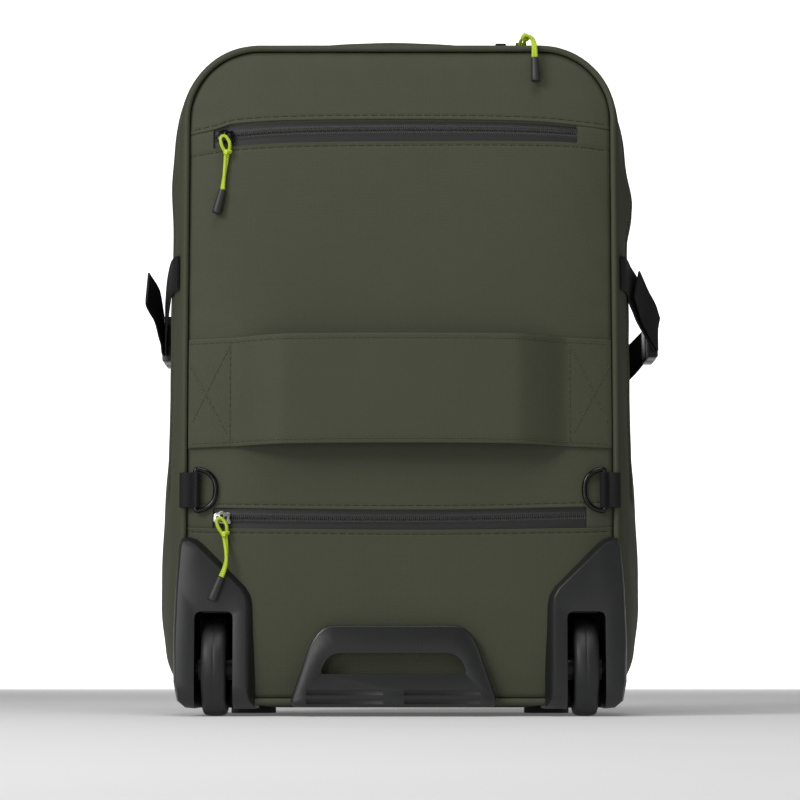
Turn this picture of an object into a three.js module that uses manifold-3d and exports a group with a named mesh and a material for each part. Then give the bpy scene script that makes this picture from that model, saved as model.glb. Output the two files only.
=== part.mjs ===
// A wheeled backpack, standing on its two wheels and two front feet.
// Millimetres, +Z up. The back panel with the wheels faces -Y, and +X is to the right of it.
// The origin lies on the floor, under the middle of the bag.
import * as THREE from "three";
import { mergeVertices } from "three/addons/utils/BufferGeometryUtils.js";
import Module from "manifold-3d";

const wasm = await Module();
wasm.setup();

// Clearances
const seat = 0.3; // between a piece and what carries it
const overshoot = 4; // how far a cutting tool runs past what it cuts

// Bag body
const panelWidth = 302.2;
const panelHeight = 463.9;
const panelCorner = 50;
const panelThickness = 5;
const panelCrown = 8;
const backY = -92; // the plane of the back seam
const bagDepth = 192; // from the back seam to the front seam
const floorGap = 8.2; // the base's edge above the floor
const fabricWall = 2.3;
const sideSwell = 20;
const topSwell = 6;
const topCrown = 3;
const cornerSwell = 28;
const bottomCorner = 36;
const bottomSag = 1.5;
const frontCrown = 15;
const pipingDiameter = 4.5;
const frontPipingSink = 1.1; // how far the front piping is let into the shell's corner

// Zips
const zipTapeThickness = 1;
const coilWidth = 4.6;
const coilHeight = 0.5;
const zipRecess = 0.2; // how far the tape lies under the panel's surface
const mainZipWidth = 16;
const mainZipInset = 32; // from the back seam to the middle of the main zip
const mainZipEnd = 152; // the height where the main zip stops on each side
const upperZipHeight = 413.3;
const upperZipHalf = 131;
const upperZipArch = 5.2;
const upperZipWidth = 16; // width of its window between the two folded edges
const lowerZipHeight = 139.8;
const lowerZipHalf = 132.6;
const lowerZipArch = -2.2;
const lowerZipWidth = 13.6;
const sliderLength = 12;
const sliderWidth = 8.5;
const sliderThickness = 2.4;
const bridgeHeight = 3.2;
const bridgeWidth = 2.8;

// Pulls of doubled cord with a moulded end
const pullCordDiameter = 4.4;
const tipLength = 17.5;
const tipTopRadius = 2.7;
const tipBottomRadius = 3.3;
const mainSliderX = 89;
const spareSliderX = 74;

// Trolley sleeve
const sleeveThickness = 2;
const sleeveTop = 267;
const sleeveBottom = 189.2;
const sleeveArch = 2.2;
const sleeveDepth = 16; // free depth of the tunnel at the middle
const sleeveSewn = 31; // the stretch sewn down at each end
const sleeveFlatHalf = 82;
const sleeveEndInset = 0.5; // from the panel's edge to the sleeve's end
const sleeveBend = 6; // the length of each bend in the sleeve

// Webbing, rings and straps
const webbingWidth = 25;
const webbingThickness = 1.6;
const ringWire = 3.5;
const ringReach = 14.5; // from the ring's bar to the middle of its bow
const ringBarX = 145;
const ringY = -98.4;
const ringHeight = 159.3;
const ringTabWidth = 25;
const ringTabLayer = 1.2;
const ringPlay = 0.5; // between the tab's edge and the ring's bends
const ringTabPlay = 0.05; // what the tab stands off the piping beyond its seat
const ringCorner = 2;
const strapBackHeight = 316;
const strapFrontHeight = 256;
const buckleHeight = 280;
const buckleOutLeft = 175; // from the bag's middle to the middle of each buckle
const buckleOutRight = 187.6;
const buckleBehindLeft = 95; // from the back seam to each buckle
const buckleBehindRight = 69;
const tailLiftLeft = 14.5; // how far each tail's tip stands off the strap
const tailLiftRight = 2.5;
const tailGap = 2.2; // between each tail and the strap that it lies on
const buckleWidth = 34;
const buckleThickness = 8;
const buckleFemaleLength = 27;
const buckleMaleLength = 20;
const buckleFrame = 4; // width of the frame round the male half's window
const buckleCrossbar = 7;
const buckleEndWall = 5;

// Wheels and their housings
const wheelRadius = 34.5;
const wheelWidth = 17.6;
const wheelX = 131;
const wheelY = -75.5;
const rimRadius = 24;
const axleRadius = 4;
const axleBite = 3; // how far the axle enters each cheek
const wellWidth = 27;
const wellTop = 73.4;
const wheelClearance = 4;
const wellRound = 5; // the round of the well's two upper corners
const tyreShoulder = 3.4; // how far the tyre's side stands under its tread
const tyreRound = 1.2;
const hubFlange = 3; // thickness of the hub's rim
const hubBossWall = 5;
const hubPlay = 0.8; // between the hub's boss and each cheek of the well
const housingFaceY = -104;
const housingFrontY = -36;
const housingInner = 102.2;
const housingOuter = 160;
const housingBottom = 5.3;
const housingTop = 126.5;
const housingTaper = 6.5; // the most that its face steps in from its sides
const housingEdgeDepth = 9; // from the face to where the sides have their full width
const housingFootRound = 16;
const housingTopSink = 8; // how far the housing's top reaches in past the back seam

// Grab handle low on the back
const grabOffset = -4.5;
const grabTop = 63.9;
const grabBottom = 6.6;
const grabTopHalf = 42;
const grabShoulderHalf = 58;
const grabBottomHalf = 72;
const grabFaceY = -106.5;
const grabFootRound = 5;
const grabShoulderFlare = 4; // how far the flanks stand out below the shoulders
const grabEdge = 2; // the chamfer round the face
const grabSlotHalf = 51.5;
const grabSlotTop = 44.3;
const grabSlotBottom = 29.7;
const grabSlotRound = 3;
const grooveDepth = 3;
const grooveInner = 7.5;
const grooveOuter = 61;
const grooveHeight = 3.8;
const grooveLevels = [14.8, 8.6]; // lower edge of each row of grooves

// Carry handle on the top
const topHandleLength = 176;
const topHandleWidth = 27;
const topHandleThickness = 4.2;
const topHandleSeat = 0.8; // its sewn ends above the bag's crown
const topHandleBow = 6;
const topHandleY = -18;
const topHandleX = -8;

// Front feet
const footWidth = 34;
const footDepth = 20;
const footX = 112;
const footInset = 28; // from the front seam to the middle of each foot
const footCorner = 5;

const frontY = backY + bagDepth;
const footY = frontY - footInset;
const pipingRadius = pipingDiameter / 2;
const panelBottom = floorGap + pipingDiameter + seat;
const panelTop = panelBottom + panelHeight;
const panelMiddle = panelBottom + panelHeight / 2;
const pipingX = panelWidth / 2 + seat + pipingRadius;
const pipingY = backY - 0.5;
const shellHalf = pipingX + pipingRadius;
const shellTop = panelTop + seat + pipingDiameter;
const rimY = pipingY + pipingRadius + seat;
const frontSeamY = frontY - fabricWall;
const zipY = backY + mainZipInset;

// Solids and meshes

function solidFrom(points, faces) {
  const vertProperties = new Float32Array(points.flatMap((p) => [p.x, p.y, p.z]));
  const build = (list) =>
    new wasm.Manifold(new wasm.Mesh({ numProp: 3, vertProperties, triVerts: new Uint32Array(list.flat()) }));
  const solid = build(faces);
  return solid.volume() < 0 ? build(faces.map(([a, b, c]) => [a, c, b])) : solid;
}

function solidOf(geometry) {
  const bare = new THREE.BufferGeometry();
  bare.setAttribute("position", geometry.getAttribute("position").clone());
  if (geometry.index) bare.setIndex(geometry.index.clone());
  const merged = mergeVertices(bare, 1e-4);
  return new wasm.Manifold(
    new wasm.Mesh({
      numProp: 3,
      vertProperties: new Float32Array(merged.attributes.position.array),
      triVerts: new Uint32Array(merged.index.array),
    }),
  );
}

function geometryOf(solid) {
  const mesh = solid.getMesh();
  const geometry = new THREE.BufferGeometry();
  const positions = new Float32Array(mesh.numVert * 3);
  for (let i = 0; i < mesh.numVert; i++)
    positions.set(mesh.vertProperties.subarray(i * mesh.numProp, i * mesh.numProp + 3), i * 3);
  geometry.setAttribute("position", new THREE.BufferAttribute(positions, 3));
  geometry.setIndex(new THREE.BufferAttribute(new Uint32Array(mesh.triVerts), 1));
  geometry.computeVertexNormals();
  return geometry;
}

const join = (first, ...rest) => rest.reduce((a, b) => a.add(b), first);
const cut = (first, ...rest) => rest.reduce((a, b) => a.subtract(b), first);

function mirrored(solid) {
  const mesh = solid.getMesh();
  const points = [];
  for (let i = 0; i < mesh.numVert; i++) {
    const at = i * mesh.numProp;
    points.push(
      new THREE.Vector3(-mesh.vertProperties[at], mesh.vertProperties[at + 1], mesh.vertProperties[at + 2]),
    );
  }
  const faces = [];
  for (let i = 0; i < mesh.triVerts.length; i += 3)
    faces.push([mesh.triVerts[i], mesh.triVerts[i + 2], mesh.triVerts[i + 1]]);
  return solidFrom(points, faces);
}

function box(x0, x1, y0, y1, z0, z1) {
  const geometry = new THREE.BoxGeometry(x1 - x0, y1 - y0, z1 - z0);
  geometry.translate((x0 + x1) / 2, (y0 + y1) / 2, (z0 + z1) / 2);
  return solidOf(geometry);
}

// A shape drawn in X and Z, between two planes of Y.
function slabAlongY(shape, y0, y1, bevel = {}) {
  const rim = bevel.bevelEnabled ? bevel.bevelThickness : 0;
  const geometry = new THREE.ExtrudeGeometry(shape, {
    depth: y1 - y0 - 2 * rim,
    bevelEnabled: false,
    curveSegments: 6,
    ...bevel,
  });
  geometry.translate(0, 0, rim);
  geometry.rotateX(Math.PI / 2);
  geometry.translate(0, y1, 0);
  return solidOf(geometry);
}

// A shape drawn in Y and Z, between two planes of X.
function slabAlongX(shape, x0, x1) {
  const geometry = new THREE.ExtrudeGeometry(shape, { depth: x1 - x0, bevelEnabled: false, curveSegments: 6 });
  geometry.applyMatrix4(
    new THREE.Matrix4().makeBasis(
      new THREE.Vector3(0, 1, 0),
      new THREE.Vector3(0, 0, 1),
      new THREE.Vector3(1, 0, 0),
    ),
  );
  geometry.translate(x0, 0, 0);
  return solidOf(geometry);
}

// A shape drawn in X and Y, between two heights.
function slabAlongZ(shape, z0, z1) {
  const geometry = new THREE.ExtrudeGeometry(shape, { depth: z1 - z0, bevelEnabled: false, curveSegments: 6 });
  geometry.translate(0, 0, z0);
  return solidOf(geometry);
}

// A closed row of points in a plane, moved outwards by a distance.
function grownPoints(given, grow) {
  const points = THREE.ShapeUtils.isClockWise(given) ? given.slice().reverse() : given;
  const n = points.length;
  return points.map((p, i) => {
    const before = p.clone().sub(points[(i + n - 1) % n]).normalize();
    const after = points[(i + 1) % n].clone().sub(p).normalize();
    const normal = new THREE.Vector2(before.y + after.y, -before.x - after.x).normalize();
    const lean = normal.dot(new THREE.Vector2(before.y, -before.x));
    return p.clone().addScaledVector(normal, grow / Math.max(lean, 0.3));
  });
}

function grownShape(shape, grow) {
  const points = shape.getPoints(6);
  if (points[0].distanceTo(points[points.length - 1]) < 1e-6) points.pop();
  return new THREE.Shape(grownPoints(points, grow));
}

// Sections of equal length joined in a row: closed into a loop, or capped at both ends.
function sweep(sections, profile, looped = false) {
  const n = profile.length;
  const points = sections.flat();
  const faces = [];
  const last = looped ? sections.length : sections.length - 1;
  for (let s = 0; s < last; s++)
    for (let i = 0; i < n; i++) {
      const a = s * n + i;
      const b = s * n + ((i + 1) % n);
      const c = ((s + 1) % sections.length) * n + i;
      const d = ((s + 1) % sections.length) * n + ((i + 1) % n);
      faces.push([a, b, d], [a, d, c]);
    }
  if (!looped) {
    const end = (sections.length - 1) * n;
    const flat = profile.map(([x, y]) => new THREE.Vector2(x, y));
    for (const [a, b, c] of THREE.ShapeUtils.triangulateShape(flat, [])) {
      const turned = THREE.ShapeUtils.isClockWise([flat[a], flat[b], flat[c]]) ? [a, c, b] : [a, b, c];
      const [p, q, r] = turned;
      const forward = THREE.ShapeUtils.isClockWise(flat) ? 1 : -1;
      faces.push(forward < 0 ? [p, r, q] : [p, q, r]);
      faces.push(forward < 0 ? [end + p, end + q, end + r] : [end + p, end + r, end + q]);
    }
  }
  return solidFrom(points, faces);
}

const circleProfile = (radius, sides) =>
  Array.from({ length: sides }, (_, i) => {
    const turn = ((i + 0.5) / sides) * 2 * Math.PI;
    return [radius * Math.cos(turn), radius * Math.sin(turn)];
  });

// A profile carried along a route, with one of its axes held to a given direction.
function carried(route, profile, upright, looped = false) {
  const n = route.length;
  const sections = route.map((p, i) => {
    const before = looped ? route[(i + n - 1) % n] : route[Math.max(i - 1, 0)];
    const after = looped ? route[(i + 1) % n] : route[Math.min(i + 1, n - 1)];
    const along = after.clone().sub(before).normalize();
    const side = along.clone().cross(upright).normalize();
    const up = side.clone().cross(along).normalize();
    return profile.map(([a, b]) => p.clone().addScaledVector(up, a).addScaledVector(side, b));
  });
  return sweep(sections, profile, looped);
}

function tubeAlong(points, radius, sides, steps) {
  const section = new THREE.Shape(circleProfile(radius, sides).map(([x, y]) => new THREE.Vector2(x, y)));
  return solidOf(
    new THREE.ExtrudeGeometry(section, {
      steps,
      bevelEnabled: false,
      extrudePath: new THREE.CatmullRomCurve3(points),
    }),
  );
}

const flatBand = (width, thickness) => [
  [-width / 2, -thickness / 2],
  [width / 2, -thickness / 2],
  [width / 2, thickness / 2],
  [-width / 2, thickness / 2],
];

// Reads a column of a table of stations at a place between its rows.
function readTable(table, key, column, at) {
  const rows = table.slice().sort((a, b) => a[key] - b[key]);
  if (at <= rows[0][key]) return rows[0][column];
  for (let i = 1; i < rows.length; i++)
    if (at <= rows[i][key]) {
      const share = (at - rows[i - 1][key]) / (rows[i][key] - rows[i - 1][key]);
      return THREE.MathUtils.lerp(rows[i - 1][column], rows[i][column], share);
    }
  return rows[rows.length - 1][column];
}

// The bag's outline

// A closed ring round the bag: straight sides, elliptical corners and a crowned top.
function outline({ half, top, bottom, corner, cornerRise, crown, y }) {
  const edge = { across: 5, up: 6, turn: 5 };
  const points = [];
  const low = Math.min(bottomCorner, corner);
  const flatHalf = half - corner;
  const lowHalf = half - low;
  const addLine = (x0, z0, x1, z1, steps, rise = 0) => {
    for (let i = 0; i < steps; i++) {
      const share = i / steps;
      const bow = rise * (1 - (2 * share - 1) ** 2);
      points.push(new THREE.Vector3(x0 + (x1 - x0) * share, y, z0 + (z1 - z0) * share + bow));
    }
  };
  const addTurn = (cx, cz, rx, rz, start) => {
    for (let i = 0; i < edge.turn; i++) {
      const turn = start + ((i / edge.turn) * Math.PI) / 2;
      points.push(new THREE.Vector3(cx + rx * Math.cos(turn), y, cz + rz * Math.sin(turn)));
    }
  };
  addLine(-lowHalf, bottom, lowHalf, bottom, edge.across);
  addTurn(lowHalf, bottom + low, low, low, -Math.PI / 2);
  addLine(half, bottom + low, half, top - cornerRise, edge.up);
  addTurn(flatHalf, top - cornerRise, corner, cornerRise, 0);
  addLine(flatHalf, top, -flatHalf, top, edge.across, crown);
  addTurn(-flatHalf, top - cornerRise, corner, cornerRise, Math.PI / 2);
  addLine(-half, top - cornerRise, -half, bottom + low, edge.up);
  addTurn(-lowHalf, bottom + low, low, low, Math.PI);
  return points;
}

// How far the sides swell out between the two seams, as shares of the depth and of the swell.
const gussetStations = [
  { depth: 0, swell: 0 },
  { depth: 0.06, swell: 0.34 },
  { depth: 0.16, swell: 0.66 },
  { depth: 0.3, swell: 0.89 },
  { depth: 0.5, swell: 1 },
  { depth: 0.7, swell: 0.9 },
  { depth: 0.86, swell: 0.62 },
  { depth: 0.95, swell: 0.3 },
  { depth: 1, swell: 0 },
];

// How much of the swell the sides have from the base to the top: the load sags low.
const sideStations = [
  { height: 0, swell: 0.55 },
  { height: 0.04, swell: 0.66 },
  { height: 0.09, swell: 0.86 },
  { height: 0.16, swell: 1 },
  { height: 0.4, swell: 0.79 },
  { height: 0.64, swell: 0.7 },
  { height: 0.8, swell: 0.63 },
  { height: 1, swell: 0.58 },
];

const sideShare = (z) => readTable(sideStations, "height", "swell", (z - floorGap) / (shellTop - floorGap));

function gussetRing(depth, swell, inset) {
  const ring = outline({
    half: shellHalf + sideSwell * swell - inset,
    top: shellTop + topSwell * swell - inset,
    bottom: floorGap - bottomSag * swell + inset,
    corner: panelCorner + pipingDiameter - inset,
    cornerRise: panelCorner + pipingDiameter + cornerSwell * swell - inset,
    crown: topCrown * swell,
    y: rimY + (frontY - rimY) * depth,
  });
  const half = shellHalf + sideSwell * swell - inset;
  for (const p of ring) p.x -= (p.x / half) * sideSwell * swell * (1 - sideShare(p.z));
  return ring;
}

// The front panel's crown, as shares of its reach from the middle.
const frontStations = [
  { reach: 0.93, crown: 0.3 },
  { reach: 0.78, crown: 0.66 },
  { reach: 0.5, crown: 0.93 },
];

function shrunkRing(ring, reach, y) {
  return ring.map((p) => new THREE.Vector3(p.x * reach, y, panelMiddle + (p.z - panelMiddle) * reach));
}

// One skin of the bag, from its back rim round to the middle of its front.
function bagSkin(inset) {
  const rings = gussetStations.map(({ depth, swell }) => {
    const ring = gussetRing(depth, swell, inset);
    if (depth === 1) ring.forEach((p) => (p.y -= inset));
    return ring;
  });
  const edge = rings[rings.length - 1];
  for (const { reach, crown } of frontStations)
    rings.push(shrunkRing(edge, reach, frontY - inset + frontCrown * crown));
  return { rings, middle: new THREE.Vector3(0, frontY - inset + frontCrown, panelMiddle) };
}

function skinFaces(skin, first, inwards) {
  const n = skin.rings[0].length;
  const centre = first + n * skin.rings.length;
  const faces = [];
  for (let i = 0; i < n; i++) {
    const next = (i + 1) % n;
    for (let r = 0; r + 1 < skin.rings.length; r++) {
      const [a, b] = [first + r * n + i, first + r * n + next];
      faces.push([a, b, b + n], [a, b + n, a + n]);
    }
    const rim = first + (skin.rings.length - 1) * n;
    faces.push([rim + i, rim + next, centre]);
  }
  return inwards ? faces.map(([a, b, c]) => [a, c, b]) : faces;
}

// A tray of one thickness: an outer skin, an inner skin and the rim between them.
function tray(outerInset, innerInset) {
  const outer = bagSkin(outerInset);
  const inner = bagSkin(innerInset);
  const points = [...outer.rings.flat(), outer.middle, ...inner.rings.flat(), inner.middle];
  const n = outer.rings[0].length;
  const start = n * outer.rings.length + 1;
  const faces = [...skinFaces(outer, 0, false), ...skinFaces(inner, start, true)];
  for (let i = 0; i < n; i++) {
    const next = (i + 1) % n;
    faces.push([i, start + i, start + next], [i, start + next, next]);
  }
  return solidFrom(points, faces);
}

// The half width of the bag's side at a given place.
function sideAt(y, z) {
  const depth = (y - rimY) / (frontY - rimY);
  return shellHalf + sideSwell * sideShare(z) * readTable(gussetStations, "depth", "swell", depth);
}

function topAt(x, y) {
  const swell = readTable(gussetStations, "depth", "swell", (y - rimY) / (frontY - rimY));
  const reach = x / (shellHalf + sideSwell * swell - panelCorner - pipingDiameter);
  return shellTop + topSwell * swell + topCrown * swell * Math.max(0, 1 - reach ** 2);
}

// Back panel

const panelRing = outline({
  half: panelWidth / 2,
  top: panelTop,
  bottom: panelBottom,
  corner: panelCorner,
  cornerRise: panelCorner,
  crown: 0,
  y: backY,
});

const panelStations = [
  { reach: 1, crown: 0 },
  { reach: 0.93, crown: 0.36 },
  { reach: 0.8, crown: 0.72 },
  { reach: 0.55, crown: 0.94 },
  { reach: 0.25, crown: 1 },
];

// How far out a place lies between the panel's middle and its edge, from 0 to 1.
function panelReach(x, z) {
  let reach = 0;
  const n = panelRing.length;
  for (let i = 0; i < n; i++) {
    const a = panelRing[i];
    const b = panelRing[(i + 1) % n];
    const normal = new THREE.Vector2(b.z - a.z, a.x - b.x).normalize();
    const edge = normal.x * a.x + normal.y * (a.z - panelMiddle);
    reach = Math.max(reach, (normal.x * x + normal.y * (z - panelMiddle)) / edge);
  }
  return reach;
}

const panelSurface = (x, z) =>
  backY - panelCrown * readTable(panelStations, "reach", "crown", Math.min(1, panelReach(x, z)));

function panelBlank(proud) {
  const rings = panelStations.map(({ reach, crown }) =>
    shrunkRing(panelRing, reach, backY - proud - panelCrown * crown),
  );
  const skin = { rings, middle: new THREE.Vector3(0, backY - proud - panelCrown, panelMiddle) };
  const inside = shrunkRing(panelRing, 1, backY + panelThickness);
  const n = panelRing.length;
  const start = n * rings.length + 1;
  const middle = new THREE.Vector3(0, backY + panelThickness, panelMiddle);
  const points = [...rings.flat(), skin.middle, ...inside, middle];
  const faces = skinFaces(skin, 0, false);
  for (let i = 0; i < n; i++) {
    const next = (i + 1) % n;
    faces.push([i, start + i, start + next], [i, start + next, next]);
    faces.push([start + i, start + n, start + next]);
  }
  return solidFrom(points, faces);
}

// Zips of the back panel: a tape with its coil, following the panel's crown

const zipSteps = 12;

function zipSections({ height, half, arch }, width, above, below, coil) {
  const across = width / 2;
  const rise = coil ? coilHeight : 0;
  const rib = coilWidth / 2;
  const profile = coil
    ? [
        [-across, below],
        [across, below],
        [across, above],
        [rib, above],
        [rib, above - rise],
        [-rib, above - rise],
        [-rib, above],
        [-across, above],
      ]
    : flatBand(width, 1).map(([a, b]) => [a, b > 0 ? above : below]);
  const sections = [];
  for (let i = 0; i <= zipSteps; i++) {
    const x = -half + (2 * half * i) / zipSteps;
    const z = height + arch * (1 - (x / half) ** 2);
    const y = panelSurface(x, z);
    sections.push(profile.map(([a, b]) => new THREE.Vector3(x, y + b, z + a)));
  }
  return sweep(sections, profile);
}

const upperZipPlace = {
  height: upperZipHeight,
  half: upperZipHalf,
  arch: upperZipArch,
  width: upperZipWidth,
};
const lowerZipPlace = {
  height: lowerZipHeight,
  half: lowerZipHalf,
  arch: lowerZipArch,
  width: lowerZipWidth,
};
const zipHeightAt = (zip, x) => zip.height + zip.arch * (1 - (x / zip.half) ** 2);

const zipTape = (zip) =>
  zipSections(zip, zip.width, zipRecess + coilHeight, zipRecess + coilHeight + zipTapeThickness, true);

const zipPocket = (zip) =>
  zipSections(
    { ...zip, half: zip.half + seat },
    zip.width + 2 * seat,
    -overshoot,
    zipRecess + coilHeight + zipTapeThickness + seat,
    false,
  );

// Wheel housings: one solid moulding each, on the right side and mirrored to the left

// Its outline seen from behind, as shares of its width and height, and how far each corner steps in at the
// face, as shares of the taper.
const housingRows = [
  { out: 0, up: 0, inX: 1, inZ: 0 },
  { out: 0.69, up: 0, inX: 0, inZ: 0 },
  { out: 0.844, up: 0.007, inX: -0.3, inZ: 0.08 },
  { out: 0.948, up: 0.047, inX: -0.38, inZ: 0.08 },
  { out: 0.993, up: 0.154, inX: -0.38, inZ: 0 },
  { out: 1, up: 0.394, inX: -0.38, inZ: 0 },
  { out: 0.976, up: 0.699, inX: -0.38, inZ: 0 },
  { out: 0.938, up: 0.946, inX: -0.38, inZ: -0.23 },
  { out: 0.903, up: 0.988, inX: -0.23, inZ: -0.46 },
  { out: 0.827, up: 1, inX: -0.08, inZ: -0.54 },
  { out: 0.716, up: 0.984, inX: 0.15, inZ: -0.58 },
  { out: 0.616, up: 0.946, inX: 0.34, inZ: -0.58 },
  { out: 0.1, up: 0.715, inX: 0.68, inZ: -0.4 },
  { out: 0.024, up: 0.658, inX: 0.86, inZ: -0.22 },
  { out: 0, up: 0.592, inX: 1, inZ: 0 },
];

// The rounded edge between the housing's face and its sides.
const housingEdge = [
  { back: 0, inset: 1 },
  { back: 0.13, inset: 0.7 },
  { back: 0.83, inset: 0.08 },
  { back: 1, inset: 0 },
];

// From the side, the housing's foot is rounded and its top slopes away into the bag.
function housingSide() {
  const shape = new THREE.Shape();
  const sunk = backY + housingTopSink;
  shape.moveTo(housingFaceY, housingBottom + housingFootRound);
  shape.quadraticCurveTo(housingFaceY, housingBottom, housingFaceY + housingFootRound, housingBottom);
  shape.lineTo(housingFrontY, housingBottom);
  shape.lineTo(housingFrontY, 0.5 * housingTop);
  shape.lineTo(THREE.MathUtils.lerp(housingFrontY, sunk, 0.33), 0.65 * housingTop);
  shape.lineTo(sunk, 0.9 * housingTop);
  shape.lineTo(sunk, housingTop);
  shape.lineTo(housingFaceY, housingTop);
  shape.closePath();
  return shape;
}

function housingSection(y, share, grow) {
  const corners = housingRows.map(({ out, up, inX, inZ }) => {
    const x = THREE.MathUtils.lerp(housingInner, housingOuter, out);
    const z = THREE.MathUtils.lerp(housingBottom, housingTop, up);
    return new THREE.Vector2(x + inX * housingTaper * share, z + inZ * housingTaper * share);
  });
  return grownPoints(corners, grow).map((p) => new THREE.Vector3(p.x, y, p.y));
}

function housingEnvelope(grow) {
  const sections = housingEdge.map(({ back, inset }) =>
    housingSection(housingFaceY - grow + back * housingEdgeDepth, inset, grow),
  );
  sections.push(housingSection(housingFrontY + overshoot, 0, grow));
  const block = sweep(
    sections,
    housingRows.map(({ out, up }) => [out, up]),
  );
  const side = slabAlongX(
    grownShape(housingSide(), grow),
    housingInner - overshoot - grow,
    housingOuter + overshoot + grow,
  );
  return block.intersect(side);
}

function discAlongX(radius, x0, x1, sides) {
  const geometry = new THREE.CylinderGeometry(radius, radius, x1 - x0, sides);
  geometry.rotateZ(Math.PI / 2);
  geometry.translate((x0 + x1) / 2, wheelY, wheelRadius);
  return solidOf(geometry);
}

function wheelHousing() {
  const x0 = wheelX - wellWidth / 2;
  const x1 = wheelX + wellWidth / 2;
  const reach = wheelRadius + wheelClearance;
  const behind = housingFaceY - overshoot;
  const mouth = new THREE.Shape();
  mouth.moveTo(x0, housingBottom - overshoot);
  mouth.lineTo(x1, housingBottom - overshoot);
  mouth.lineTo(x1, wellTop - wellRound);
  mouth.quadraticCurveTo(x1, wellTop, x1 - wellRound, wellTop);
  mouth.lineTo(x0 + wellRound, wellTop);
  mouth.quadraticCurveTo(x0, wellTop, x0, wellTop - wellRound);
  mouth.closePath();
  return cut(
    housingEnvelope(0),
    discAlongX(reach, x0, x1, 32),
    slabAlongY(mouth, behind, wheelY),
    box(x0, x1, behind, wheelY + reach, housingBottom - overshoot, wheelRadius),
    discAlongX(axleRadius + seat, x0 - axleBite - seat, x1 + axleBite + seat, 16),
  );
}

// Wheels, turned about X

function turnedAboutX(profile, x, sides) {
  const points = profile.map(([radius, along]) => new THREE.Vector2(radius, along));
  points.push(points[0].clone());
  const geometry = new THREE.LatheGeometry(points, sides);
  geometry.rotateZ(-Math.PI / 2);
  geometry.translate(x, wheelY, wheelRadius);
  const solid = solidOf(geometry);
  return solid.volume() > 0 ? solid : turnedAboutX(profile.slice().reverse(), x, sides);
}

function tyre(x) {
  const half = wheelWidth / 2;
  return turnedAboutX(
    [
      [rimRadius + seat, -0.93 * half],
      [wheelRadius - tyreShoulder, -half],
      [wheelRadius - tyreRound, -0.8 * half],
      [wheelRadius, -0.38 * half],
      [wheelRadius, 0.38 * half],
      [wheelRadius - tyreRound, 0.8 * half],
      [wheelRadius - tyreShoulder, half],
      [rimRadius + seat, 0.93 * half],
    ],
    x,
    28,
  );
}

function wheelHub(x) {
  const half = 0.82 * (wheelWidth / 2);
  const boss = wellWidth / 2 - hubPlay;
  const bossRadius = axleRadius + hubBossWall;
  return turnedAboutX(
    [
      [axleRadius + seat, -boss],
      [bossRadius, -boss],
      [bossRadius, -0.6 * half],
      [rimRadius - hubFlange, -0.6 * half],
      [rimRadius - hubFlange, -half],
      [rimRadius, -half],
      [rimRadius, half],
      [rimRadius - hubFlange, half],
      [rimRadius - hubFlange, 0.6 * half],
      [bossRadius, 0.6 * half],
      [bossRadius, boss],
      [axleRadius + seat, boss],
    ],
    x,
    16,
  );
}

const axle = (x) =>
  discAlongX(axleRadius, x - wellWidth / 2 - axleBite, x + wellWidth / 2 + axleBite, 16);

// Grab handle: a moulded plate with a finger slot, seated on the panel's crown

function grabPlate() {
  const c = grabOffset;
  const shape = new THREE.Shape();
  const shoulder = THREE.MathUtils.lerp(grabBottom, grabTop, 0.6);
  const foot = grabBottomHalf - grabFootRound;
  const flank = grabShoulderHalf + grabShoulderFlare;
  const bend = grabShoulderHalf - grabShoulderFlare + 1;
  shape.moveTo(c - foot, grabBottom);
  shape.lineTo(c + foot, grabBottom);
  shape.quadraticCurveTo(c + grabBottomHalf, grabBottom, c + grabBottomHalf, grabBottom + grabFootRound);
  shape.lineTo(c + flank, shoulder);
  shape.quadraticCurveTo(c + bend, grabTop, c + grabTopHalf, grabTop);
  shape.lineTo(c - grabTopHalf, grabTop);
  shape.quadraticCurveTo(c - bend, grabTop, c - flank, shoulder);
  shape.lineTo(c - grabBottomHalf, grabBottom + grabFootRound);
  shape.quadraticCurveTo(c - grabBottomHalf, grabBottom, c - foot, grabBottom);
  const chamfer = { bevelSize: grabEdge, bevelThickness: grabEdge, bevelOffset: -grabEdge };
  const blank = slabAlongY(shape, grabFaceY, backY, { bevelEnabled: true, bevelSegments: 2, ...chamfer });

  const slot = new THREE.Shape();
  const turn = grabSlotTop - grabSlotBottom;
  const round = grabSlotRound;
  slot.moveTo(c - grabSlotHalf + round, grabSlotBottom);
  slot.lineTo(c + grabSlotHalf - round, grabSlotBottom);
  slot.quadraticCurveTo(c + grabSlotHalf, grabSlotBottom, c + grabSlotHalf - 1, grabSlotBottom + round);
  slot.quadraticCurveTo(c + grabSlotHalf - turn / 3, grabSlotTop, c + grabSlotHalf - turn, grabSlotTop);
  slot.lineTo(c - grabSlotHalf + turn, grabSlotTop);
  slot.quadraticCurveTo(c - grabSlotHalf + turn / 3, grabSlotTop, c - grabSlotHalf + 1, grabSlotBottom + round);
  slot.quadraticCurveTo(c - grabSlotHalf, grabSlotBottom, c - grabSlotHalf + round, grabSlotBottom);

  const grooves = grooveLevels.flatMap((level) =>
    [-1, 1].map((side) => {
      const [near, far] = [c + side * grooveInner, c + side * grooveOuter].sort((a, b) => a - b);
      return box(near, far, grabFaceY - overshoot, grabFaceY + grooveDepth, level, level + grooveHeight);
    }),
  );
  const fingers = slabAlongY(slot, grabFaceY - overshoot, backY + overshoot);
  const seam = pipingLoop(backPipingRoute(), pipingRadius + seat);
  return cut(blank, fingers, ...grooves, panelBlank(seat), seam);
}

// Trolley sleeve: a band sewn down at both ends, bowed out between them

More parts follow.
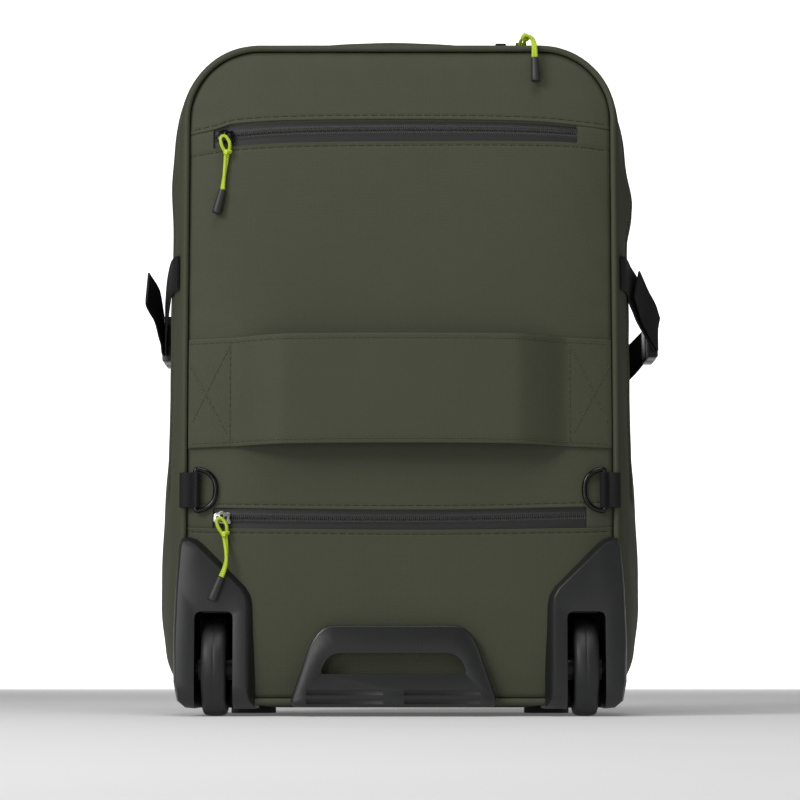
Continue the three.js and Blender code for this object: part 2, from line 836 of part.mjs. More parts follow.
function sleeveRoute() {
  const half = panelWidth / 2 - sleeveEndInset;
  const sewn = half - sleeveSewn;
  const crest = backY - panelCrown - sleeveDepth;
  const levels = [sleeveTop, (sleeveTop + sleeveBottom) / 2, sleeveBottom];
  const stations = [
    { x: half, lift: 0 },
    { x: half - sleeveSewn / 2, lift: 0 },
    { x: sewn, lift: 0 },
    { x: sewn - sleeveBend, lift: 0.1 },
    { x: (sewn + sleeveFlatHalf) / 2, lift: 0.52 },
    { x: sleeveFlatHalf + 0.7 * sleeveBend, lift: 0.93 },
    { x: sleeveFlatHalf - sleeveBend, lift: 1 },
    { x: 0, lift: 1 },
  ];
  const right = stations.map(({ x, lift }) => {
    const lying = Math.min(...levels.map((z) => panelSurface(x, z))) - 2 * seat;
    return { x, y: THREE.MathUtils.lerp(lying, crest, lift) };
  });
  const left = right.slice(0, -1).map(({ x, y }) => ({ x: -x, y }));
  return [...left, ...right.reverse()];
}

function trolleySleeve() {
  const route = sleeveRoute();
  const half = route[route.length - 1].x;
  const profile = flatBand(1, 1);
  const sections = route.map((p, i) => {
    const before = route[Math.max(i - 1, 0)];
    const after = route[Math.min(i + 1, route.length - 1)];
    const along = new THREE.Vector2(after.x - before.x, after.y - before.y).normalize();
    const rise = sleeveArch * (1 - (p.x / half) ** 2);
    return profile.map(([a, b]) => {
      const out = b > 0 ? sleeveThickness : 0;
      const z = a > 0 ? sleeveTop + rise : sleeveBottom + rise;
      return new THREE.Vector3(p.x + along.y * out, p.y - along.x * out, z);
    });
  });
  return sweep(sections, profile);
}

// D-rings and the webbing tabs that hold them

function dRing(side) {
  const wire = ringWire / 2;
  const barHalf = ringTabWidth / 2 + ringPlay + wire;
  const outlineShape = new THREE.Shape();
  outlineShape.moveTo(0, -barHalf + ringCorner);
  outlineShape.lineTo(0, barHalf - ringCorner);
  outlineShape.quadraticCurveTo(0, barHalf, ringCorner, barHalf);
  outlineShape.quadraticCurveTo(ringReach, 0.86 * barHalf, ringReach, 0);
  outlineShape.quadraticCurveTo(ringReach, -0.86 * barHalf, ringCorner, -barHalf);
  outlineShape.quadraticCurveTo(0, -barHalf, 0, -barHalf + ringCorner);
  const points = outlineShape.getPoints(4);
  points.pop();
  const route = points.map(
    (p) => new THREE.Vector3(side * (ringBarX - p.x), ringY, ringHeight + p.y),
  );
  return carried(route, circleProfile(wire, 6), new THREE.Vector3(0, 1, 0), true);
}

function ringTab(side) {
  const hole = ringWire / 2 + seat;
  const fold = hole + ringTabLayer;
  const over = pipingRadius + seat + ringTabPlay;
  const shape = new THREE.Shape();
  const bar = new THREE.Vector2(ringBarX, ringY);
  shape.moveTo(bar.x + 0.6 * fold, bar.y - 0.8 * fold);
  shape.absarc(bar.x, bar.y, fold, -0.3 * Math.PI, -1.5 * Math.PI, true);
  shape.lineTo(pipingX - 0.75 * over, pipingY - 0.75 * over);
  shape.lineTo(pipingX, pipingY - over);
  shape.lineTo(pipingX + 0.75 * over, pipingY - 0.75 * over);
  shape.lineTo(pipingX + 0.6 * over + ringTabLayer, pipingY - over - ringTabLayer);
  shape.lineTo(pipingX, pipingY - over - 2 * ringTabLayer);
  shape.closePath();
  const eye = new THREE.Path();
  eye.absarc(bar.x, bar.y, hole, 0, 2 * Math.PI, false);
  shape.holes.push(eye);
  const solid = slabAlongZ(shape, ringHeight - ringTabWidth / 2, ringHeight + ringTabWidth / 2);
  return side > 0 ? solid : mirrored(solid);
}

// Side compression straps. Each row is a place along a strap: how far along it is from one end to the
// other, and how far it has gone from the bag's side out to the buckle and from its seam's height to the
// buckle's height.
const strapSides = {
  left: { side: -1, out: buckleOutLeft, behind: buckleBehindLeft, lift: tailLiftLeft },
  right: { side: 1, out: buckleOutRight, behind: buckleBehindRight, lift: tailLiftRight },
};

const strapBackStations = [
  { along: 0.01, out: 0, level: 0 },
  { along: 0.15, out: 0, level: 0 },
  { along: 0.32, out: 0, level: 0.03 },
  { along: 0.48, out: 0.06, level: 0.13 },
  { along: 0.66, out: 0.36, level: 0.45 },
  { along: 0.82, out: 0.78, level: 0.82 },
  { along: 0.93, out: 1, level: 1 },
  { along: 1, out: 1, level: 1 },
];

const strapFrontStations = [
  { along: 0, out: 1, level: 1 },
  { along: 0.08, out: 1, level: 1 },
  { along: 0.3, out: 0.74, level: 0.8 },
  { along: 0.56, out: 0.28, level: 0.4 },
  { along: 0.76, out: 0.04, level: 0.1 },
  { along: 0.88, out: 0, level: 0 },
];

const strapTailStations = [
  { along: 1, lift: 0 },
  { along: 0.93, lift: 0 },
  { along: 0.82, lift: 0.05 },
  { along: 0.66, lift: 0.34 },
  { along: 0.54, lift: 0.7 },
  { along: 0.45, lift: 1 },
];

const buckleStart = (place) => backY + place.behind;
const buckleEnd = (place) => buckleStart(place) + buckleMaleLength + seat + buckleFemaleLength;

function strapPoint(place, y, z, out) {
  const lying = sideAt(y, z) + 2 * seat + webbingThickness / 2;
  return new THREE.Vector3(place.side * THREE.MathUtils.lerp(lying, place.out, out), y, z);
}

function strapBackPoint(place, along) {
  const y = THREE.MathUtils.lerp(rimY, buckleStart(place) - seat, along);
  const level = readTable(strapBackStations, "along", "level", along);
  const z = THREE.MathUtils.lerp(strapBackHeight, buckleHeight, level);
  return strapPoint(place, y, z, readTable(strapBackStations, "along", "out", along));
}

function strapFrontPoint(place, { along, out, level }) {
  const y = THREE.MathUtils.lerp(buckleEnd(place) + seat, frontY, along);
  return strapPoint(place, y, THREE.MathUtils.lerp(strapFrontHeight, buckleHeight, level), out);
}

function strapTailPoint(place, { along, lift }) {
  const point = strapBackPoint(place, along);
  point.x += place.side * (webbingThickness + tailGap + lift * place.lift);
  return point;
}

const webbing = (points) =>
  carried(points, flatBand(webbingWidth, webbingThickness), new THREE.Vector3(0, 0, 1));
const strapBack = (place) => webbing(strapBackStations.map(({ along }) => strapBackPoint(place, along)));
const strapFront = (place) => webbing(strapFrontStations.map((row) => strapFrontPoint(place, row)));
const strapTail = (place) => webbing(strapTailStations.map((row) => strapTailPoint(place, row)));

const bucklePlace = (place) => new THREE.Vector3(place.side * place.out, buckleStart(place), buckleHeight);

const roundedBlock = (y0, y1, halfX, halfZ, at) => {
  const shape = new THREE.Shape();
  const round = 0.45 * halfX;
  shape.moveTo(-halfX, -halfZ + round);
  shape.quadraticCurveTo(-halfX, -halfZ, -halfX + round, -halfZ);
  shape.lineTo(halfX - round, -halfZ);
  shape.quadraticCurveTo(halfX, -halfZ, halfX, -halfZ + round);
  shape.lineTo(halfX, halfZ - round);
  shape.quadraticCurveTo(halfX, halfZ, halfX - round, halfZ);
  shape.lineTo(-halfX + round, halfZ);
  shape.quadraticCurveTo(-halfX, halfZ, -halfX, halfZ - round);
  const moved = new THREE.Shape(shape.getPoints(3).map((p) => new THREE.Vector2(p.x + at.x, p.y + at.z)));
  return slabAlongY(moved, at.y + y0, at.y + y1);
};

// The buckle's male half holds the long webbing, and its prongs sit in the female half.
function buckleMale(place) {
  const at = bucklePlace(place);
  const thin = buckleThickness / 2;
  const wide = buckleWidth / 2;
  const prong = buckleFemaleLength - buckleEndWall - 1;
  const body = roundedBlock(0, buckleMaleLength, 0.9 * thin, wide, at);
  const window = box(
    at.x - 2 * thin,
    at.x + 2 * thin,
    at.y + buckleFrame,
    at.y + buckleMaleLength - buckleCrossbar,
    at.z - wide + buckleFrame,
    at.z + wide - buckleFrame,
  );
  const bar = roundedBlock(
    buckleMaleLength - 0.5,
    buckleMaleLength + prong,
    0.4 * thin,
    0.22 * wide,
    at,
  );
  return join(cut(body, window), bar);
}

function buckleFemale(place) {
  const at = bucklePlace(place);
  const thin = buckleThickness / 2;
  const wide = buckleWidth / 2;
  const start = buckleMaleLength + seat;
  const body = roundedBlock(start, start + buckleFemaleLength, thin, wide, at);
  const socket = roundedBlock(
    start - overshoot,
    start + buckleFemaleLength - buckleEndWall,
    0.4 * thin + seat,
    0.22 * wide + seat,
    at,
  );
  return cut(body, socket);
}

// Carry handle on the top: a padded band, sewn down at its ends

function topHandle() {
  const half = topHandleLength / 2;
  const shares = [-1, -0.93, -0.8, -0.6, -0.3, 0, 0.3, 0.6, 0.8, 0.93, 1];
  const route = shares.map((share) => {
    const x = topHandleX + half * share;
    const lying = topAt(x, topHandleY) + topHandleSeat + topHandleThickness / 2;
    return new THREE.Vector3(x, topHandleY, lying + topHandleBow * (1 - share ** 2) ** 1.5);
  });
  return carried(route, flatBand(topHandleWidth, topHandleThickness), new THREE.Vector3(0, 1, 0));
}

// Front feet

function foot(side) {
  const shape = new THREE.Shape();
  const [w, d, round] = [footWidth / 2, footDepth / 2, footCorner];
  const corners = [
    [w, -d + round],
    [w, d - round],
    [w - round, d],
    [-w + round, d],
    [-w, d - round],
    [-w, -d + round],
    [-w + round, -d],
    [w - round, -d],
  ];
  shape.setFromPoints(corners.map(([x, y]) => new THREE.Vector2(side * footX + x, footY + y)));
  return slabAlongZ(shape, 0, floorGap - bottomSag - seat);
}

// Sliders: a body on the coil, with a bridge over it that holds the pull

function slider() {
  const body = new THREE.Shape();
  const [l, w, t] = [sliderLength / 2, sliderWidth / 2, bridgeWidth / 2];
  body.moveTo(-l, -0.7 * w);
  body.lineTo(-0.2 * l, -w);
  body.lineTo(l, -w);
  body.lineTo(l, w);
  body.lineTo(-0.2 * l, w);
  body.lineTo(-l, 0.7 * w);
  const plate = slabAlongZ(body, 0, sliderThickness);
  const bridge = cut(
    box(-0.6 * l, 0.6 * l, -t, t, sliderThickness - seat, sliderThickness + bridgeHeight),
    box(-0.38 * l, 0.38 * l, -2 * t, 2 * t, sliderThickness, sliderThickness + 0.65 * bridgeHeight),
  );
  return join(plate, bridge);
}

// The bodies of the sliders lie in the plane of the tape, turned so that +Z points away from the bag.
function placedSolid(solid, matrix) {
  const geometry = geometryOf(solid).toNonIndexed();
  geometry.applyMatrix4(matrix);
  return solidOf(geometry);
}

function panelSlider(zip, x) {
  const z = zipHeightAt(zip, x);
  const y = panelSurface(x, z) + zipRecess - 2 * seat;
  const matrix = new THREE.Matrix4().makeBasis(
    new THREE.Vector3(1, 0, 0),
    new THREE.Vector3(0, 0, 1),
    new THREE.Vector3(0, -1, 0),
  );
  matrix.setPosition(x, y, z);
  return placedSolid(slider(), matrix);
}

function mainSlider(x) {
  const y = zipY;
  const z = topAt(x, y) - coilHeight + 2 * seat;
  const slope = (topAt(x + 4, y) - topAt(x - 4, y)) / 8;
  const lean = (topAt(x, y + 4) - topAt(x, y - 4)) / 8;
  const right = new THREE.Vector3(1, 0, slope).normalize();
  const front = new THREE.Vector3(0, 1, lean).normalize();
  const out = right.clone().cross(front).normalize();
  const matrix = new THREE.Matrix4().makeBasis(right, out.clone().cross(right), out);
  matrix.setPosition(x, y, z);
  return placedSolid(slider(), matrix);
}

// Cord pulls. Each route starts at its slider and runs down to its moulded end.
const pullRoutes = {
  upper: [
    [-126.2, -102.4, 410.8],
    [-125, -101.9, 407.5],
    [-124.2, -100.5, 402.5],
    [-124.7, -100, 395.5],
    [-125.6, -100, 387.5],
    [-126.5, -99.8, 380],
    [-127, -99.6, 374.8],
  ],
  lower: [
    [-127, -102.8, 136.7],
    [-125, -102.5, 132.5],
    [-123.8, -101.4, 127.5],
    [-122.9, -102.4, 121],
    [-122.2, -104.8, 114.5],
    [-122.4, -106.4, 108],
    [-123.6, -107, 102.5],
    [-125.6, -107, 97.6],
  ],
  main: [
    [89.6, -62.6, 492.6],
    [90.8, -68.4, 493.9],
    [92.6, -76.2, 493.2],
    [94.4, -84.2, 490.4],
    [95.8, -92.4, 486.2],
    [96.6, -98.8, 479.8],
    [97, -99.6, 471.4],
  ],
};

const pullTips = {
  upper: [-131.3, -100.2, 358.2],
  lower: [-132.2, -108, 81.3],
  main: [97.5, -101, 454],
};

function pullCord(name) {
  const points = pullRoutes[name].map(([x, y, z]) => new THREE.Vector3(x, y, z));
  return tubeAlong(points, pullCordDiameter / 2, 8, 2 * points.length);
}

function pullTip(name) {
  const from = new THREE.Vector3(...pullRoutes[name][pullRoutes[name].length - 1]);
  const along = new THREE.Vector3(...pullTips[name]).sub(from).normalize();
  const geometry = new THREE.LatheGeometry(
    [
      [0, 0],
      [tipTopRadius, 0],
      [tipBottomRadius, 0.8 * tipLength],
      [0.8 * tipBottomRadius, tipLength],
      [0, tipLength],
    ].map(([r, l]) => new THREE.Vector2(r, l)),
    12,
  );
  geometry.applyQuaternion(new THREE.Quaternion().setFromUnitVectors(new THREE.Vector3(0, 1, 0), along));
  const start = from.addScaledVector(along, 2 * seat);
  geometry.translate(start.x, start.y, start.z);
  return solidOf(geometry);
}

// Main zip: a band let into the bag's wall, over the top and down both sides

function mainZip() {
  const half = 2 * shellHalf;
  const reach = mainZipWidth / 2;
  const region = box(-half, half, zipY - reach, zipY + reach, mainZipEnd, 2 * shellTop);
  return tray(coilHeight, coilHeight + zipTapeThickness).intersect(region);
}

// Piping round the front panel lies against the corner of the shell.
const frontPipingRoute = () =>
  gussetRing(1, 0, frontPipingSink - pipingRadius).map(
    (p) => new THREE.Vector3(p.x, frontY + frontPipingSink, p.z),
  );

const pipingLoop = (route, radius) =>
  carried(route, circleProfile(radius, 6), new THREE.Vector3(0, 1, 0), true);

const backPipingRoute = () =>
  outline({
    half: pipingX,
    top: panelTop + seat + pipingRadius,
    bottom: floorGap + pipingRadius,
    corner: panelCorner + seat + pipingRadius,
    cornerRise: panelCorner + seat + pipingRadius,
    crown: 0,
    y: pipingY,
  });

const housingRight = housingEnvelope(seat);
const housingLeft = mirrored(housingRight);

// The back piping runs into both wheel housings: a long stretch over the top, a short one along the base.
function backPiping(over) {
  const level = housingTop / 2;
  const loop = cut(pipingLoop(backPipingRoute(), pipingRadius), housingRight, housingLeft);
  const half = 2 * shellHalf;
  const [low, high] = over ? [level, 2 * shellTop] : [-half, level];
  return loop.intersect(box(-half, half, -half, half, low, high));
}

// The wall is sewn of four pieces of fabric: a base that reaches up both sides to the ends of the main zip,
// a band over the top on each side of that zip, and the front panel, which closes them at the front seam.
function bagWall(y0, y1, z0, z1) {
  const half = 2 * shellHalf;
  return cut(
    tray(0, fabricWall).intersect(box(-half, half, y0, y1, z0, z1)),
    pipingLoop(frontPipingRoute(), pipingRadius + seat),
    housingRight,
    housingLeft,
  );
}

const [behind, ahead, below, above] = [2 * backY, 2 * frontY, -shellHalf, 2 * shellTop];
const zipReach = mainZipWidth / 2 + seat;
const bagBase = () => bagWall(behind, frontSeamY - seat / 2, below, mainZipEnd - seat);
const rearBand = () => bagWall(behind, zipY - zipReach, mainZipEnd, above);
const frontBand = () => bagWall(zipY + zipReach, frontSeamY - seat / 2, mainZipEnd, above);
const frontPanel = () => bagWall(frontSeamY + seat / 2, ahead, below, above);

function backPanel() {
  return cut(
    panelBlank(0),
    zipPocket(upperZipPlace),
    zipPocket(lowerZipPlace),
    housingRight,
    housingLeft,
    pipingLoop(backPipingRoute(), pipingRadius + seat),
  );
}

// Materials and assembly

const finishes = {
  coatedFabric: { color: 0x4b4d40, roughness: 0.62, metalness: 0 },
  zipTape: { color: 0x3a3a3a, roughness: 0.7, metalness: 0 },
  neonCord: { color: 0xbfd834, roughness: 0.6, metalness: 0 },
  blackPlastic: { color: 0x3b3c3c, roughness: 0.5, metalness: 0 },
  blackRubber: { color: 0x2c2d2d, roughness: 0.75, metalness: 0 },
  blackWebbing: { color: 0x2a2a2b, roughness: 0.85, metalness: 0 },
  darkMetal: { color: 0x2a2a2a, roughness: 0.3, metalness: 0.9 },
  steel: { color: 0xb8babb, roughness: 0.3, metalness: 1 },
};

const backpack = new THREE.Group();

function add(name, solid, finish) {
  const mesh = new THREE.Mesh(geometryOf(solid), new THREE.MeshStandardMaterial(finishes[finish]));
  mesh.name = name;
  backpack.add(mesh);
}

add("bag_base", bagBase(), "coatedFabric");
add("rear_band", rearBand(), "coatedFabric");
add("front_band", frontBand(), "coatedFabric");
add("front_panel", frontPanel(), "coatedFabric");
add("back_panel", backPanel(), "coatedFabric");
add("piping_back", backPiping(true), "coatedFabric");
add("piping_base", backPiping(false), "coatedFabric");
add("piping_front", pipingLoop(frontPipingRoute(), pipingRadius), "coatedFabric");
add("main_zip", mainZip(), "zipTape");
add("upper_zip", zipTape(upperZipPlace), "zipTape");
add("lower_zip", zipTape(lowerZipPlace), "zipTape");
add("upper_slider", panelSlider(upperZipPlace, -upperZipHalf + 5.5), "darkMetal");
add("lower_slider", panelSlider(lowerZipPlace, -lowerZipHalf + 6.5), "steel");
add("main_slider", mainSlider(mainSliderX), "darkMetal");
add("spare_slider", mainSlider(spareSliderX), "darkMetal");
for (const name of ["upper", "lower", "main"]) {
  add(`${name}_pull_cord`, pullCord(name), "neonCord");
  add(`${name}_pull_tip`, pullTip(name), "blackRubber");
}
add("trolley_sleeve", trolleySleeve(), "coatedFabric");
add("grab_handle", grabPlate(), "blackPlastic");
add("top_handle", topHandle(), "coatedFabric");

for (const [name, place] of Object.entries(strapSides)) {
  const { side } = place;
  const housing = wheelHousing();
  add(`ring_tab_${name}`, ringTab(side), "blackWebbing");
  add(`d_ring_${name}`, dRing(side), "darkMetal");
  add(`wheel_housing_${name}`, side > 0 ? housing : mirrored(housing), "blackPlastic");
  add(`tyre_${name}`, tyre(side * wheelX), "blackRubber");
  add(`wheel_hub_${name}`, wheelHub(side * wheelX), "blackPlastic");
  add(`axle_${name}`, axle(side * wheelX), "steel");
  add(`strap_back_${name}`, strapBack(place), "blackWebbing");
  add(`strap_front_${name}`, strapFront(place), "blackWebbing");
  add(`strap_tail_${name}`, strapTail(place), "blackWebbing");
  add(`buckle_male_${name}`, buckleMale(place), "blackPlastic");
  add(`buckle_female_${name}`, buckleFemale(place), "blackPlastic");
  add(`front_foot_${name}`, foot(side), "blackRubber");
}

export default backpack;
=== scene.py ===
# Looks of a wheeled backpack of coated fabric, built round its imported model.
# Metres, +Z up, the back panel with the wheels faces -Y. Sizes named here are in millimetres.
import math

import bmesh
import bpy
from mathutils import Matrix, Vector
from mathutils.bvhtree import BVHTree


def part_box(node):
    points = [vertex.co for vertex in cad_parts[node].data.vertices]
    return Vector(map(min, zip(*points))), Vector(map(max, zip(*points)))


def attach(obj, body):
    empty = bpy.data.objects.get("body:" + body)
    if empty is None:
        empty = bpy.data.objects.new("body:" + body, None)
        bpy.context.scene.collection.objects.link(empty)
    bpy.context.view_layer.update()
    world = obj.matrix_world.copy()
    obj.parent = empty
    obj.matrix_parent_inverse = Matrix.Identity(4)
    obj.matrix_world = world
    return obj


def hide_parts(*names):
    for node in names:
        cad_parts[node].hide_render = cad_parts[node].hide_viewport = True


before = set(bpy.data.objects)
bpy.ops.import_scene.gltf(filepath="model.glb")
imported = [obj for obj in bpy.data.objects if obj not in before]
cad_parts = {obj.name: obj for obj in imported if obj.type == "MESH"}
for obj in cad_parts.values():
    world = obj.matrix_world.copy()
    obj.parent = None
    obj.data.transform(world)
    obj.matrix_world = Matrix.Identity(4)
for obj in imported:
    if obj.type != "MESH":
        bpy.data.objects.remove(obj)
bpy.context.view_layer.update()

mm = 0.001

# Camera
# A long lens stands low behind the bag, 1.94 m away, and looks up at it by six degrees.
camera_y = -1940
camera_height = 30
camera_rise = 5.992  # degrees above level
film_width = 36
focal_length = 117.27

camera_data = bpy.data.cameras.new("long_lens")
camera_data.sensor_width = film_width
camera_data.lens = focal_length
camera_data.clip_start = 0.05
camera = bpy.data.objects.new("long_lens", camera_data)
camera.location = (0, camera_y * mm, camera_height * mm)
camera.rotation_euler = (math.radians(90 + camera_rise), 0, 0)
bpy.context.scene.collection.objects.link(camera)
bpy.context.scene.camera = camera
bpy.context.scene.view_settings.view_transform = "Standard"


# Pulls
# Each zip pull is a neon polyester cord, doubled: it goes through the slider's tab, is knotted under it,
# and its two strands end in a moulded rubber end that hangs against the bag.
def linear(code):
    """An sRGB hex colour as linear light, with an alpha of 1."""
    shares = [int(code[at : at + 2], 16) / 255 for at in (1, 3, 5)]
    return [s / 12.92 if s <= 0.04045 else ((s + 0.055) / 1.055) ** 2.4 for s in shares] + [1]


def start_material(name):
    material = bpy.data.materials.new(name)
    material.use_nodes = True
    material.node_tree.nodes.clear()
    return material


def add_node(material, kind, inputs=None, **settings):
    """Adds a node. An input is given a number, a colour, or the output of another node."""
    node = material.node_tree.nodes.new(kind)
    for key, value in settings.items():
        setattr(node, key, value)
    for key, value in (inputs or {}).items():
        if isinstance(value, bpy.types.NodeSocket):
            material.node_tree.links.new(value, node.inputs[key])
        else:
            node.inputs[key].default_value = value
    return node


def bands(pitch):
    """The scale that gives a Wave Texture one band in each pitch, in millimetres."""
    return math.pi / (10 * pitch * mm)


def cells(size):
    """The scale that gives a Noise Texture cells of a size, in millimetres."""
    return 1 / (size * mm)


def shade(material, share, dark, light, finish, relief=None, height=None):
    """Finishes a material: its tone runs between two colours by a share, with the finish given.

    Where relief gives a strength and a depth in millimetres, the share or another height raises it.
    """
    tone = add_node(
        material,
        "ShaderNodeMix",
        {0: share, 6: linear(dark), 7: linear(light)},
        data_type="RGBA",
    )
    inputs = {"Base Color": tone.outputs[2], **finish}
    if relief:
        strength, depth = relief
        bump = add_node(
            material,
            "ShaderNodeBump",
            {"Height": height or share, "Strength": strength, "Distance": depth * mm},
        )
        inputs["Normal"] = bump.outputs["Normal"]
    shader = add_node(material, "ShaderNodeBsdfPrincipled", inputs)
    add_node(material, "ShaderNodeOutputMaterial", {"Surface": shader.outputs[0]})


def running(points):
    """How far along a line each of its points lies."""
    far = [0.0]
    for a, b in zip(points, points[1:]):
        far.append(far[-1] + (b - a).length)
    return far


def eased(points, step):
    """A smooth line through the given points, cut at about equal steps."""
    ends = [2 * points[0] - points[1], *points, 2 * points[-1] - points[-2]]
    fine = []
    for a, b, c, d in zip(ends, ends[1:], ends[2:], ends[3:]):
        for k in range(12):
            t = k / 12
            bend = (c - a) * t + (2 * a - 5 * b + 4 * c - d) * t**2 + (3 * b - a - 3 * c + d) * t**3
            fine.append(b + bend / 2)
    fine.append(points[-1])
    far = running(fine)
    count = max(2, round(far[-1] / step))
    line, k = [], 0
    for n in range(count + 1):
        at = far[-1] * n / count
        while k < len(far) - 2 and far[k + 1] < at:
            k += 1
        line.append(fine[k].lerp(fine[k + 1], (at - far[k]) / max(1e-9, far[k + 1] - far[k])))
    return line


def lay_grid(columns, rows, place, wrap_columns=False, wrap_rows=False, flat=None):
    """A grid whose corners are moved to place(i, j). Its UV map holds its flat size in metres."""
    across, up = columns + wrap_columns, rows + wrap_rows
    bm = bmesh.new()
    bmesh.ops.create_grid(bm, x_segments=across - 1, y_segments=up - 1, size=0.5)
    points = [[place(i % columns, j % rows) for i in range(across)] for j in range(up)]
    u = running(points[up // 2])
    v = running([row[across // 2] for row in points])
    cloth = bm.loops.layers.uv.new("cloth")
    for face in bm.faces:
        for loop in face.loops:
            j, i = divmod(loop.vert.index, across)
            laid = flat(points[j][i]) if flat else (u[i], v[j])
            loop[cloth].uv = (laid[0] * mm, laid[1] * mm)
    for vert in bm.verts:
        j, i = divmod(vert.index, across)
        vert.co = points[j][i] * mm
    if wrap_columns or wrap_rows:
        bmesh.ops.remove_doubles(bm, verts=bm.verts, dist=1e-7)
    return bm


def frames_along(route, up, closed=False):
    """For each point of a route: the point, the direction across it and the one nearest to up."""
    n = len(route)
    found = []
    for j, point in enumerate(route):
        before = route[(j - 1) % n] if closed else route[max(j - 1, 0)]
        after = route[(j + 1) % n] if closed else route[min(j + 1, n - 1)]
        along = (after - before).normalized()
        side = along.cross(up).normalized()
        found.append((point, side, side.cross(along)))
    return found


def sweep(route, section, up, closed=False, swell=None):
    """A closed section carried along a route, capped at its ends. swell(j) is its size at each point."""
    frames = frames_along(route, up, closed)

    def place(i, j):
        point, side, top = frames[j]
        size = swell(j) if swell else 1
        return point + side * (section[i][0] * size) + top * (section[i][1] * size)

    bm = lay_grid(len(section), len(route), place, wrap_columns=True, wrap_rows=closed)
    if not closed:
        bmesh.ops.holes_fill(bm, edges=[e for e in bm.edges if e.is_boundary], sides=0)
    bmesh.ops.recalc_face_normals(bm, faces=bm.faces)
    return bm


def round_section(radius, sides):
    turns = [2 * math.pi * i / sides for i in range(sides)]
    return [(radius * math.cos(t), radius * math.sin(t)) for t in turns]


def add_piece(bm, name, material, slot, body="bag", nodes=(), sharp=35):
    """Makes a piece of a finished mesh, and lets it ride on its body in place of its nodes."""
    for face in bm.faces:
        face.smooth = True
    for edge in bm.edges:
        if edge.is_manifold and edge.calc_face_angle(0) > math.radians(sharp):
            edge.smooth = False
    mesh = bpy.data.meshes.new(name)
    bm.to_mesh(mesh)
    bm.free()
    mesh.materials.append(material)
    piece = bpy.data.objects.new(name, mesh)
    bpy.context.scene.collection.objects.link(piece)
    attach(piece, body)
    if nodes:
        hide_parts(*nodes)
    return piece


# Braided polyester dyed neon: a faint painted glow stands in for its fluorescence, which makes it brighter
# than its surroundings, and the braid shows as fine slanting ribs.
neon = start_material("neon_braided_polyester")
neon_uv = add_node(neon, "ShaderNodeUVMap", uv_map="cloth")
neon_braid = add_node(
    neon,
    "ShaderNodeTexWave",
    {"Vector": neon_uv.outputs["UV"], "Scale": bands(0.9), "Distortion": 0.5, "Detail": 1.0},
    bands_direction="DIAGONAL",
)
# Its emission is a painted glow, standing in for the fluorescence of its dye.
neon_finish_and_glow = {"Roughness": 0.55, "Emission Color": linear("#a8c41c"), "Emission Strength": 0.05}
shade(neon, neon_braid.outputs["Fac"], "#8fa81c", "#c8e02e", neon_finish_and_glow, relief=(0.5, 0.2))

# Thermoplastic rubber, moulded over the cord's ends: dark grey and dull, with a soft broad highlight. Its
# eroded mould leaves a grain of about 0.1 mm, drawn at 0.6 mm so that it shows.
soft_rubber = start_material("moulded_thermoplastic_rubber")
rubber_place = add_node(soft_rubber, "ShaderNodeTexCoord")
rubber_grain = add_node(
    soft_rubber,
    "ShaderNodeTexNoise",
    {"Vector": rubber_place.outputs["Object"], "Scale": cells(0.625), "Detail": 2.0},
)
rubber_finish = {"Roughness": 0.48}
shade(soft_rubber, rubber_grain.outputs["Fac"], "#232322", "#30302e", rubber_finish, relief=(0.3, 0.1))

strand_radius = 1.2
cord_routes = {
    "upper": [
        (-126.2, -102.4, 410.8),
        (-125, -101.9, 407.5),
        (-124.2, -100.5, 402.5),
        (-124.7, -100, 395.5),
        (-125.6, -100, 387.5),
        (-126.5, -99.8, 380),
        (-127, -99.6, 374.8),
    ],
    "lower": [
        (-127, -102.8, 136.7),
        (-125, -102.5, 132.5),
        (-123.8, -101.4, 127.5),
        (-122.9, -102.4, 121),
        (-122.2, -104.8, 114.5),
        (-122.4, -106.4, 108),
        (-123.6, -107, 102.5),
        (-125.6, -107, 97.6),
    ],
    "main": [
        (89.2, -62.6, 489.8),
        (90.6, -68.4, 492),
        (92.8, -76.2, 492.2),
        (94.8, -84.2, 489.8),
        (96.2, -92.4, 485.4),
        (96.8, -98.8, 479.4),
        (97, -99.6, 471.4),
    ],
}
cord_tips = {"upper": (-131.3, -100.2, 358.2), "lower": (-132.2, -108, 81.3), "main": (97.5, -101, 454)}
loop_length = 10.0  # from the slider to the middle of the knot
knot_turns, knot_steps = 2.25, 48
loop_opening = {"upper": 1.9, "lower": 1.9, "main": 0.6}  # how far each strand bulges in the loop
tip_rows = [
    {"along": 0.0, "radius": 2.2},
    {"along": 0.35, "radius": 2.65},
    {"along": 1.4, "radius": 2.75},
    {"along": 6.0, "radius": 2.95},
    {"along": 14.0, "radius": 3.3},
    {"along": 16.6, "radius": 3.3},
    {"along": 17.2, "radius": 3.05},
    {"along": 17.5, "radius": 2.5},
]
out_of_bag = {"upper": Vector((0, -1, 0)), "lower": Vector((0, -1, 0)), "main": Vector((0, -0.6, 0.8))}

